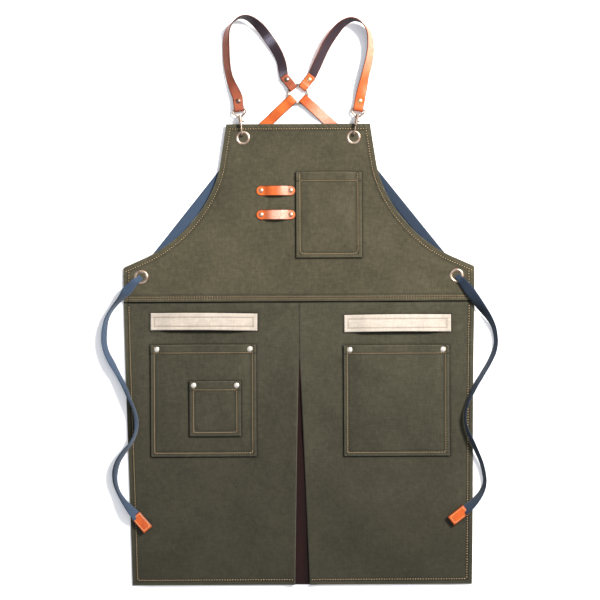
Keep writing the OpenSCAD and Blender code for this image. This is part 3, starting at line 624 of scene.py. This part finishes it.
hemLine = inset(side[-2::-1], 2.2 - canvas["hem"])
hemLine = hemLine[(hemLine[:, 0] < 331) & (hemLine[:, 1] < 325)]
sideSeam = np.array([[apron["half"] - 10.5, 12], [apron["half"] - 10.5, 58]])
bibSeams = []
for s in (-1, 1):
    bibSeams += [hemLine * [s, 1], sideSeam * [s, 1]]
bibSeams.append([[-131, canvas["height"] - 9], [131, canvas["height"] - 9]])
bibTop = topOf(bib)
sewLines("bib stitching", bibSeams, "gold thread", bibTop)
sewLines("waist stitching", [[[-328, y], [328, y]] for y in waistSeams], "rust thread", bibTop, width=1.0)
print("bib")

pleat = dict(drop=108, left=10, right=17, lip=2.6)
skirtHem = 10


def lipAt(y, s):  # how far a pleat edge stands off the centre line
    down = np.clip((-y - pleat["drop"]) / (apron["skirtLength"] - pleat["drop"]), 0, 1)
    return pleat["left"] * down ** 0.75 if s < 0 else pleat["right"] * down ** 0.9


def layHalf(s):
    def lay(u, v):
        y = rowsAt(v, (-apron["skirtLength"], -522, 20), (-522, -12, 140), (-12, 3, 18))
        inner, outer = lipAt(y, s), skirtHalf(y)
        x = s * (inner + (outer - inner) * crowd(u, outer - inner, 15, 0.15))
        sideGap, hemGap, lipGap = outer - np.abs(x), y + apron["skirtLength"], np.abs(x) - inner
        d = np.minimum(sideGap, hemGap)
        z = skirtTopAt(x, y) + hemRise(d, skirtHem, 0.9) + pucker(x + y, d, skirtHem)
        opened = smooth((-y - pleat["drop"] + 6) / 70)
        z += pleat["lip"] * opened * mark(lipGap, 0, 16) - 2.4 * opened * np.clip(1 - lipGap / 1.6, 0, 1) ** 2
        z -= 0.5 * (1 - opened) * mark(lipGap, 0, 1.6)
        z -= 1.1 * smooth((y + 9) / 9) * smooth(sideGap / 14)
        z = np.maximum(z, lowestTop)
        worn, shade = edgeMarks(d, skirtHem)
        worn = np.clip(worn + 0.5 * opened * np.clip(1 - lipGap / 3, 0, 1), 0, 1)
        # painted shade where the skirt runs under the bib's lower edge, and along the closed pleat's fold
        shade = np.maximum(shade, smooth((y + 4.5) / 3))
        shade = np.maximum(shade, 0.5 * (1 - opened) * mark(lipGap, 0, 1.5))
        return np.stack([lean(x, y), y, z], 1), np.stack([x, y], 1), worn, np.maximum(shade, paintedShadeBeside(x, y))
    return lay


halves = []
for s, name in ((-1, "left"), (1, "right")):
    half = makeSheet(name + " skirt", 124, 175, layHalf(s), "skirt canvas")
    halves.append(half)
    if s < 0:
        half.data.flip_normals()
    finish(half, name + "_skirt")


def layUnderlay(u, v):
    x, y = -39 + 90 * u, -537.5 + 444 * v
    fold = 0.35 * np.sin(x / 9.0 + 1.2 * np.sin(y / 90)) * smooth((-y - 100) / 200)
    z = 1.9 + (y + 534) * apron["slope"] + fold
    # painted shade over the whole underlay, deeper in a band right of the middle
    return np.stack([x, y, z], 1), np.stack([x, y], 1), 0 * x, 0.35 + 0.5 * mark(x, 14, 8)


underlay = makeSheet("pleat underlay", 40, 120, layUnderlay, "pleat canvas")
finish(underlay, "pleat_underlay")

skirtSeams = []
for s in (-1, 1):
    ys = np.linspace(-528, -8, 60)
    skirtSeams.append(np.stack([lean(s * (skirtHalf(ys) - 9.8), ys), ys], 1))
    skirtSeams.append([[s * (apron["footHalf"] - 9.8) + 2.6, -528.3], [20 if s > 0 else -13, -528.3]])
sewLines("skirt stitching", skirtSeams, "gold thread", topOf(*halves))
print("skirt")


def pocketTop(p, x, y):  # height of a pocket's cloth
    u = (x - p["x"]) / (p["wide"] / 2)
    v = (y - p["foot"]) / p["tall"]
    below = pocketTop(pockets["left pocket"], x, y) if p["on"] == "left_pocket" else under(x, y)
    d = np.minimum((1 - np.abs(u)) * p["wide"] / 2, v * p["tall"])
    full = smooth(d / 34) * (0.35 + 0.65 * smooth(v * 1.15)) * smooth((1 - np.abs(u)) * p["wide"] / 2 / 26)
    z = below + 1.75 + p["puff"] * full
    z += 0.6 * ripple(x, y, 60, p["seed"]) * smooth(d / 14)
    z += 1.3 * (1 - smooth((d - p["inset"] + 1.0) / 3.0)) + pucker(x + y, d, p["inset"], 0.22)
    z -= 0.4 * mark(d, p["inset"], 1.2)
    down = (1 - v) * p["tall"]
    return z + 0.7 * (1 - smooth((down - p["hem"] + 1.2) / 2.5)) - 0.3 * mark(down, p["hem"], 1.4)


def layPocket(p):
    def lay(u, v):
        u, v = crowd(u, p["wide"], 12, 0.11), crowd(v, p["tall"], 20, 0.15)
        x = p["x"] + (u - 0.5) * p["wide"]
        y = p["foot"] + v * p["tall"]
        y = y + 0.6 * v * np.cos((u - 0.5) * 3.14)
        d = np.minimum((0.5 - np.abs(u - 0.5)) * p["wide"], v * p["tall"])
        down = (1 - v) * p["tall"]
        z = pocketTop(p, x, y) - 0.5 * np.clip(1 - d / 1.0, 0, 1) ** 2
        # wear on the edges; painted shade along the stitching, the outer edge and under the top hem
        worn, shade = edgeMarks(d, p["inset"] + 2.2)
        shade = np.maximum(shade, 0.5 * np.clip(1 - d / 1.0, 0, 1))
        worn = np.maximum(worn, np.clip(1.1 - down / 2.2, 0, 1))
        shade = np.maximum(shade, 0.75 * mark(down, p["hem"] + 1.2, 1.3))
        if p is pockets["left pocket"]:
            shade = np.maximum(shade, paintedShadeBeside(x, y, "left_pocket"))
        return np.stack([x, y, z], 1), np.stack([x, y], 1), worn, shade
    return lay


pocketTops = {}
for name, p in pockets.items():
    cloth = "bib canvas" if p["on"] == "bib" else "skirt canvas"
    obj = makeSheet(name, int(p["wide"] / 1.7), int(p["tall"] / 1.7), layPocket(p), cloth, 1.8)
    pocketTops[name] = topOf(obj)
    finish(obj, name.replace(" ", "_"))
    w, e, foot, top = p["wide"] / 2, p["inset"], p["foot"], p["foot"] + p["tall"]
    left, right, low, cut = p["x"] - w + e, p["x"] + w - e, foot + e, p["cut"]
    corners = [[left, low + cut], [left + cut, low], [right - cut, low], [right, low + cut]]
    hem = top - p["hem"]
    lines = [[[left, top - 2], *corners, [right, top - 2]], [[left + 1, hem], [right - 1, hem]]]
    sewLines(name + " stitching", lines, "gold thread", pocketTops[name])
print("pockets")


def toolTop(s, x, y):
    u = np.abs(x - s["x"]) / (toolStraps["wide"] / 2)
    ends = (1 - u) * toolStraps["wide"] / 2
    arch = smooth((ends - toolStraps["foot"] + 4) / 42)
    v = (y - s["y"]) / (toolStraps["tall"] / 2)
    level = skirtTopAt(x, y) + toolStraps["thick"] + 0.2 + (toolStraps["rise"] - 0.9 * v) * arch
    return level - 0.45 * mark(np.abs(v) * 16.5, 8.5, 1.3) + 0.25 * ripple(x, y, 40, 4)


for name, s in strapSpots.items():
    def layTool(u, v, s=s):
        u, v = crowd(u, toolStraps["wide"], 14, 0.1), crowd(v, toolStraps["tall"], 12, 0.38)
        across, up = (u - 0.5) * toolStraps["wide"], (v - 0.5) * toolStraps["tall"]
        turn = math.radians(s["lean"])
        bow = np.cos(across / toolStraps["wide"] * 3.14)
        x = s["x"] + across * math.cos(turn) - up * math.sin(turn)
        y = s["y"] + across * math.sin(turn) + up * math.cos(turn) + bow
        d = np.minimum(toolStraps["wide"] / 2 - np.abs(across), toolStraps["tall"] / 2 - np.abs(up))
        z = toolTop(s, x, y) - 1.3 * np.clip(1 - d / 1.6, 0, 1) ** 2
        # painted shade along the stitch lines and the strap's edges
        shade = 0.3 * mark(d, toolStraps["inset"], 1.2) + 0.3 * np.clip(1 - d / 1.2, 0, 1)
        return np.stack([x, y, z], 1), np.stack([x, y], 1), 0.3 * np.clip(1 - d / 2, 0, 1), shade
    obj = makeSheet(name + " tool strap", 130, 34, layTool, "cream canvas", toolStraps["thick"])
    finish(obj, name + "_tool_strap")
    w, h, e = toolStraps["wide"] / 2, toolStraps["tall"] / 2, toolStraps["inset"]
    bars = [[[-w + 6, k * (h - e)], [w - 6, k * (h - e)]] for k in (-1, 1)]
    tacks = [[[k * (w - e), -h + 6], [k * (w - e), h - 6]] for k in (-1, 1)]
    seams = np.array(bars + tacks) + [s["x"], s["y"]]
    sewLines(name + " strap stitching", seams, "cream thread", topOf(obj), pitch=3.4, length=2.5)
print("tool straps")


def sectionOf(kind):  # a band's outline from -1 to 1: a quarter of it, turned over three times
    if kind == "webbing":
        quarter = [(0.94, 0.8), (0.6, 1)]
        upper = [(-1, 0.0), *((-x, z) for x, z in quarter), (0, 0.92), *quarter[::-1]]
        return upper + [(-x, -z) for x, z in upper]
    upper = [(-1, 0.45), (-0.93, 0.93), (-0.8, 1), (0, 1), (0.8, 1), (0.93, 0.93), (1, 0.45)]
    return upper + [(x, -z) for x, z in upper[::-1] if x]


# A band's row holds its middle, the direction across it, its width and its thickness.
# A painted light mark holds its place along the band, its reach and its strength: a painted highlight on
# leather, painted shade on webbing.
def makeBand(name, rows, kind, look, paleAndPaintedLight=()):
    outline = sectionOf(kind)
    count, rings = len(outline), len(rows)
    bm = bmesh.new()
    bmesh.ops.create_grid(bm, x_segments=count, y_segments=rings - 1, size=0.5)
    mesh = bpy.data.meshes.new(name)
    bm.to_mesh(mesh)
    bm.free()
    co = np.empty(len(mesh.vertices) * 3)
    mesh.vertices.foreach_get("co", co)
    co = co.reshape(-1, 3)
    k = np.rint((co[:, 0] + 0.5) * count).astype(int)
    i = np.rint((co[:, 1] + 0.5) * (rings - 1)).astype(int)
    middle, across = rows[:, :3], rows[:, 3:6]
    run = np.gradient(middle, axis=0)
    run /= np.linalg.norm(run, axis=1)[:, None]
    across = across - run * (across * run).sum(1)[:, None]
    across /= np.linalg.norm(across, axis=1)[:, None]
    through = np.cross(run, across)
    along = np.r_[0, np.cumsum(np.linalg.norm(np.diff(middle, axis=0), axis=1))]
    shape = np.array(outline)[k % count]
    half, thick = rows[i, 6] / 2, rows[i, 7] / 2
    ends = np.minimum(along[i], along[-1] - along[i])
    points = middle[i] + across[i] * (shape[:, :1] * half[:, None])
    points += through[i] * (shape[:, 1:] * thick[:, None])
    mesh.vertices.foreach_set("co", inFrame(points).ravel())
    loops = np.empty(len(mesh.loops), int)
    mesh.loops.foreach_get("vertex_index", loops)
    cloth = np.stack([along[i], shape[:, 0] * half + 40 * (shape[:, 1] < 0)], 1)
    mesh.uv_layers.new(name="cloth").data.foreach_set("uv", (cloth[loops] * mm).ravel())
    floats(mesh, "front", (shape[:, 1] > 0).astype(float))
    floats(mesh, "rim", np.maximum((np.abs(shape[:, 0]) > 0.9) * 1.0, np.clip(1 - ends / 1.5, 0, 1)))
    share = along[i] / along[-1]
    patches = [power * bump((share - middle) / reach) for middle, reach, power in paleAndPaintedLight]
    # on webbing the painted shade lies on one half across the band
    oneSided = 0.5 - 0.5 * shape[:, 0] if kind == "webbing" else 1
    floats(mesh, "paleAndPaintedLight", np.max([np.zeros(len(share))] + patches, 0) * oneSided)
    bm = bmesh.new()
    bm.from_mesh(mesh)
    bmesh.ops.remove_doubles(bm, verts=bm.verts, dist=1e-6)
    bmesh.ops.holes_fill(bm, edges=[e for e in bm.edges if e.is_boundary], sides=0)
    bmesh.ops.recalc_face_normals(bm, faces=bm.faces)
    bm.to_mesh(mesh)
    bm.free()
    return makeObject(name, mesh, look)


def outwards(line, sign):  # level directions square to a line, on its left for 1 and its right for -1
    run = np.gradient(line[:, :2], axis=0)
    run /= np.linalg.norm(run, axis=1)[:, None]
    return sign * np.stack([-run[:, 1], run[:, 0], 0 * run[:, 0]], 1)


leather = dict(width=19, thick=2.3, ringWidth=16.5)
ring = dict(at=(0, 393), radius=18.5, slot=3.9, level=4.35)
hooks = {"left": dict(turn=-83, sign=-1), "right": dict(turn=-100, sign=1)}
bail = dict(reach=32, back=22, slot=3.2, level=6.4)  # from the neck eyelet to the swivel, and on to the bar


def foldRows(at, level, turn, width, slot, reach, up, tab):
    # tab end first, round the bar and out along the strap, which is the upper layer where up is 1
    r = slot / 2 + 1.2
    far = -reach + slot / 2
    layer = [(max(far, -0.5) + 0.6, r), (3.2, r * 0.93), (6.5, r * 0.62), (11, 1.25), (16, 1.2)]
    bend = [(tab, -1.2)] + [(x, -z) for x, z in layer[::-1]]
    bend += [(far + r * math.sin(a), -r * math.cos(a)) for a in np.linspace(-0.2, -2.94, 9)]
    ux, uy = math.cos(turn), math.sin(turn)
    rest = [-uy * up, ux * up, 0, width, leather["thick"]]
    return [[at[0] + ux * x, at[1] + uy * x, level + up * z, *rest] for x, z in bend + layer + [(24, 1.2)]]


shoulderRoutes = {  # x, y, height of the middle, and how far the strap stands up, in degrees
    "left": [(-128.5, 421, 9.4, 42), (-134, 449, 8.4, 45), (-135.5, 477, 8.2, 45), (-135.5, 495, 8.8, 48),
             (-133, 512, 10.5, 60), (-124.5, 526, 13.5, 80), (-111.5, 536, 15, 90), (-97, 537, 15.5, 110),
             (-84, 530.5, 13.5, 130), (-70, 518, 10.5, 148), (-57.5, 501.5, 8.2, 157), (-42, 478, 7.0, 157),
             (-31.5, 455, 6.4, 152)],
    "right": [(126.5, 423, 8.6, 36), (131.5, 442, 8.2, 38), (135.5, 459, 8.2, 40), (138, 477, 8.8, 45),
              (137.5, 495, 9.8, 54), (133.5, 511, 12, 68), (124, 524, 14.5, 82), (111, 531.5, 15.5, 96),
              (97.5, 531, 15.5, 114), (84, 523.5, 13.5, 129), (72, 511, 11, 145), (55.5, 487.5, 8.4, 151),
              (43.5, 463, 7.2, 147)],
}


def shoulderRows(name):
    s, turn = hooks[name]["sign"], math.radians(hooks[name]["turn"])
    u = np.array([math.cos(turn), math.sin(turn)])
    bar = np.array([s * eyelets["neck"][0], eyelets["neck"][1]]) - u * (bail["reach"] + bail["back"])
    slot = bail["slot"]
    first = foldRows(bar, bail["level"], turn + math.pi, leather["width"], slot, slot / 2, 1, 27)
    angle = math.radians(90 - s * 38)
    at = np.array(ring["at"]) + ring["radius"] * np.array([math.cos(angle), math.sin(angle)])
    last = np.array(foldRows(at, ring["level"], angle, leather["ringWidth"], ring["slot"], 4.5, -1, 26)[::-1])
    rows = np.array(shoulderRoutes[name], float)
    o = outwards(np.vstack([first[-1][:3], rows[:, :3], last[0][:3]]), -s)[1:-1]
    a = np.radians(rows[:, 3])[:, None]
    across = np.array([0, 0, 1]) * np.sin(a) - o * np.cos(a)
    across *= np.sign(across[0] @ first[-1][3:6]) or 1
    middle = np.c_[rows[:, :3], across, np.tile([leather["width"], leather["thick"]], (len(rows), 1))]
    last[:, 3:6] *= np.sign(across[-1] @ last[0, 3:6]) or 1
    return curve(np.vstack([first, middle, last]), 4)


# the left strap is orange leather painted darker as shade; the marks are painted highlights
shoulderLooks = {
    "left": ("brown leather", [(0.86, 0.05, 0.35), (0.68, 0.035, 0.6)]),
    "right": ("orange leather", [(0.36, 0.17, 0.65), (0.9, 0.05, 0.35)]),
}
for name, (look, paintedLightMarks) in shoulderLooks.items():
    strap = makeBand(name + " shoulder strap", shoulderRows(name), "leather", look, paintedLightMarks)
    finish(strap, name + "_shoulder_strap")
print("shoulder straps")

backStrap = dict(aim=np.array([153, 252]), length=118)


def heading(start, end):  # the direction from one place to another, of length 1
    run = np.array(end, float) - start
    return run / np.linalg.norm(run)


for s, name in ((-1, "left"), (1, "right")):
    run = heading(ring["at"], backStrap["aim"]) * [s, 1]
    turn = math.atan2(run[1], run[0])
    at = np.array(ring["at"]) + run * ring["radius"]
    rows = foldRows(at, ring["level"], turn, leather["width"], ring["slot"], 5.5, 1, 26)
    end = backStrap["length"] - ring["radius"]
    for far, z in ((31, 5.5), (40, 3.6), (50, 1.5), (60, 1.2), (75, 1.2), (90, 1.2), (end, 1.2)):
        rows.append([*(at + run * far), z, *rows[0][3:]])
    # painted highlight along the right back strap
    paintedLightMarks = [(0.62, 0.34, 0.8)] if s > 0 else []
    strap = makeBand(name + " back strap", curve(np.array(rows), 4), "leather", "orange leather", paintedLightMarks)
    finish(strap, name + "_back_strap")
print("back straps")

webbing = dict(width=20, thick=1.8, inEyelet=11.2)
tieRoutes = {  # x, y, visible width, height of the lower edge
    "left": [(-312, 36, 14, 9), (-325, 22, 18.5, 7.6), (-339, 5, 10, 5), (-355, -14, 7, 1.6),
             (-365, -33, 8, 0.4), (-369, -55, 10, 0.3), (-369.5, -76, 10, 0.3), (-365, -96, 10, 0.3),
             (-355, -116, 11, 0.3), (-343.5, -137, 8.5, 0.8), (-332, -159, 8, 3.2), (-322, -183, 6.5, 5.0),
             (-313, -206, 6, 5.2), (-309, -227, 8, 5.2), (-310.5, -247, 6, 5.2), (-319, -266, 6.5, 5.0),
             (-332, -283, 9, 3.4), (-344, -301, 10, 1.4), (-350, -321, 10, 0.4), (-350, -341, 8, 0.3),
             (-343.5, -361, 6.5, 0.6), (-332, -379, 9.5, 2.8), (-319, -395, 15, 4.2),
             (-308, -408, 18.5, 3.9)],
    "right": [(309, 36, 15, 9), (320, 22, 19, 8), (333, 4, 18.5, 6.8), (346, -14, 16, 4.8),
              (359, -32, 11.5, 1.8), (369, -51, 8, 0.4), (373, -76, 7, 0.3), (369.5, -97, 8, 0.3),
              (360, -118, 8, 0.3), (347.5, -139, 8, 0.8), (334, -161, 8, 3.2), (323, -183, 6.5, 5.0),
              (315.5, -203, 5.5, 5.2), (313, -224, 4, 5.2), (317, -245, 6, 5.2), (325.5, -265, 8, 5.0),
              (334.5, -285, 7.5, 3.4), (343, -305, 7, 1.6), (348.5, -325, 6.5, 0.5), (350.5, -344, 6, 0.3),
              (345.5, -361, 8.5, 0.6), (334, -377, 12, 2.6), (320.5, -390.5, 16.5, 4.2),
              (310, -399, 18.5, 3.9)],
}
lowerEdgeOut = {"left": -1, "right": 1}


def waistEye(s):
    return np.array(eyelets["waist"], float) * [s, 1]


def tieRows(name):
    eye = waistEye(lowerEdgeOut[name])
    run = heading(eye, tieRoutes[name][0][:2])
    lead = [(*eye, 11.0, 5.5), (*(eye + run * 7), 11.4, 9.1)]
    rows = np.array(lead + tieRoutes[name], float)
    o = outwards(rows, 1)
    visible = np.clip(rows[:, 2], 3, 19.9)
    narrow = np.interp(np.arange(len(rows)), [0, 1, 2, 3], [webbing["inEyelet"], 11.8, 16, 20])
    narrow = np.where(np.arange(len(rows)) > 3, np.clip(visible + 7, 13.5, 20), narrow)
    tilt = np.arccos(np.clip((visible - 1.4) / (narrow - 0.6), 0.05, 1))
    tilt[:2] = 0
    tilt *= lowerEdgeOut[name]
    middle = rows[:, 3] + narrow / 2 * np.abs(np.sin(tilt)) + 0.9 * np.abs(np.cos(tilt))
    across = o * np.cos(tilt)[:, None] + np.array([0, 0, 1]) * np.sin(tilt)[:, None]
    return np.c_[rows[:, :2], middle, across, narrow, np.full(len(rows), webbing["thick"])]


# the marks are painted shade along the ties
webLooks = {
    "left": (-1, "blue webbing", "webbing", [(0.12, 0.06, 0.8), (0.55, 0.15, 0.9), (0.83, 0.2, 1)]),
    "right": (1, "navy webbing", "dark_webbing", [(0.17, 0.1, 1), (0.62, 0.22, 1), (0.88, 0.1, 0.8)]),
}
for name, (s, look, slot, paintedLightMarks) in webLooks.items():
    fine = curve(tieRows(name), 6)
    tie = makeBand(name + " tie", fine, "webbing", look, paintedLightMarks)
    finish(tie, name + "_tie")
    end = fine[-1]
    run = heading(fine[-3][:2], end[:2])
    across = np.array([-run[1], run[0], 0]) * np.sign(end[3] * -run[1] + end[4] * run[0])
    tipRows = []
    for far, thick in ((-6, 4.4), (0, 4.8), (10, 4.8), (22, 4.8), (29, 4.7), (31, 3.4)):
        tipRows.append([*(end[:2] + run * far), end[2], *across, 21, thick])
    tip = makeBand(name + " tie tip", curve(np.array(tipRows), 3), "leather", "tip leather")
    finish(tip, name + "_tie_tip")
    square = [(-3, 7.5), (27, 7.5), (27, -7.5), (-3, -7.5), (-3, 7.5)]
    seam = [end[:2] + run * far + across[:2] * out for far, out in square]
    level = end[2] + 2.5
    stitched = sewLines(name + " tip stitching", [seam], "gold thread", lambda x, y, z=level: z + 0 * x,
                        lift=0.0, pitch=3.6, length=2.6)
    back, eye = heading(ring["at"], backStrap["aim"]) * [s, 1], waistEye(s)
    seam = ring["at"] + back * backStrap["length"]
    run = heading(seam, eye)
    full = webbing["width"]
    spots = [(seam - back * far, 3.4, full) for far in (22, 5)]
    spots += [(seam + run * far, z, full) for far, z in ((5, 3.2), (16, 1.4), (45, 1.25), (110, 1.25))]
    spots += [(eye - run * far, z, wide) for far, z, wide in (
        (90, 1.25, full), (44, 1.25, full), (20, 1.9, 15.5), (7, 3.4, 11.4), (0, 6.4, webbing["inEyelet"]))]
    rows = [[*spot, z, -run[1], run[0], 0, wide, webbing["thick"]] for spot, z, wide in spots]
    rear = makeBand(name + " rear webbing", curve(np.array(rows), 5), "webbing", look)
    finish(rear, name + "_rear_webbing")
print("webbing")

penLoops = dict(x=-43, half=37, round=9.5, thick=2.0, rise=5.3)
# shine is a painted highlight on each loop
for name, y, shine in (("upper", 209.5, (0.75, 0.3, 0.6)), ("lower", 164, (0.6, 0.45, 1.0))):
    rows = []
    for x in np.linspace(-penLoops["half"], penLoops["half"], 60):
        ends, half = penLoops["half"] - abs(x), penLoops["round"]
        z = apron["bibTop"] + penLoops["thick"] / 2 + penLoops["rise"] * float(smooth((ends - 12) / 17))
        if ends <= half:
            half = math.sqrt(max(half ** 2 - (half - ends) ** 2, 2.0))
        rows.append([penLoops["x"] + x, y, z, 0, 1, 0, 2 * half, penLoops["thick"]])
    loop = makeBand(name + " pen loop", np.array(rows), "leather", "orange leather", [shine])
    finish(loop, name + "_pen_loop")
print("pen loops")


def makeRivet(bm, at, radius, height, low):  # a domed head, with its post and burr below
    x, y, z = at
    lift = Matrix.Translation(Vector(inFrame(at)))
    head = bmesh.ops.create_uvsphere(bm, u_segments=28, v_segments=14, radius=radius * mm, matrix=lift)
    base = lift.translation.z
    for v in head["verts"]:
        h = v.co.z - base
        v.co.z = base + (h * height / radius if h > 0 else 0.0)
    for middle, wide, tall in (((z + low) / 2 + 0.1, 1.5, z - low), (low + 0.3, 3.6, 0.6)):
        spot = Matrix.Translation(Vector(inFrame((x, y, middle))))
        bmesh.ops.create_cone(bm, cap_ends=True, segments=20, radius1=wide * mm, radius2=wide * mm,
                              depth=tall * mm, matrix=spot)


rivetSpots = {  # in from a pocket's side, down from its top, and the head's radius
    "left pocket": (12, 8.3, 5.5),
    "right pocket": (12, 8.3, 5.5),
    "small pocket": (8.2, 7.6, 5.4),
}
for name, (inwards, down, radius) in rivetSpots.items():
    p = pockets[name]
    bm = bmesh.new()
    for s in (-1, 1):
        x, y = p["x"] + s * (p["wide"] / 2 - inwards), p["foot"] + p["tall"] - down
        top = float(pocketTops[name](x, y)[0])
        makeRivet(bm, (x, y, top - 0.1), radius, 1.8, float(skirtTopAt(x, y)) - 2.2)
    mesh = bpy.data.meshes.new(name + " rivets")
    bmesh.ops.remove_doubles(bm, verts=bm.verts, dist=1e-6)
    bm.to_mesh(mesh)
    bm.free()
    finish(makeObject(name + " rivets", mesh, "nickel"), name.replace(" ", "_") + "_rivets")
print("rivets")

metalLooks = {
    "pen_loop_rivets": "copper",
    "left_strap_rivets": "dark bronze",
    "right_strap_rivets": "gilt brass",
    "back_ring": "hook bronze",
}
for s in ("left", "right"):
    for spot in ("neck", "waist"):
        metalLooks[f"{s}_{spot}_eyelet"] = metalLooks[f"{s}_{spot}_washer"] = "aged brass"
    for part in ("hook_bail", "hook_body", "hook_bolt"):
        metalLooks[f"{s}_{part}"] = "hook bronze"
    metalLooks[f"{s}_bolt_spring"] = "bright steel"
for node, look in metalLooks.items():
    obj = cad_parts[node]
    obj.data.materials.clear()
    obj.data.materials.append(finishes[look])

bm = bmesh.new()
bmesh.ops.create_grid(bm, x_segments=1, y_segments=1, size=14)
mesh = bpy.data.meshes.new("floor")
bm.to_mesh(mesh)
bm.free()
floorMat, n, into = start("floor", 0.9, Specular_IOR_Level=0.1)
clouds = n.span(n.noise(n.add("TexCoord").outputs["Object"], 3.0), 0.3, 0.7)
n.join(n.mix(clouds, (0.93, 0.93, 0.93, 1), (0.95, 0.95, 0.95, 1)), into["Base Color"])
into["Emission Color"].default_value = (0.95, 0.93, 1, 1)
into["Emission Strength"].default_value = 0.1
floor = bpy.data.objects.new("floor", mesh)
mesh.materials.append(floorMat)
scene.collection.objects.link(floor)
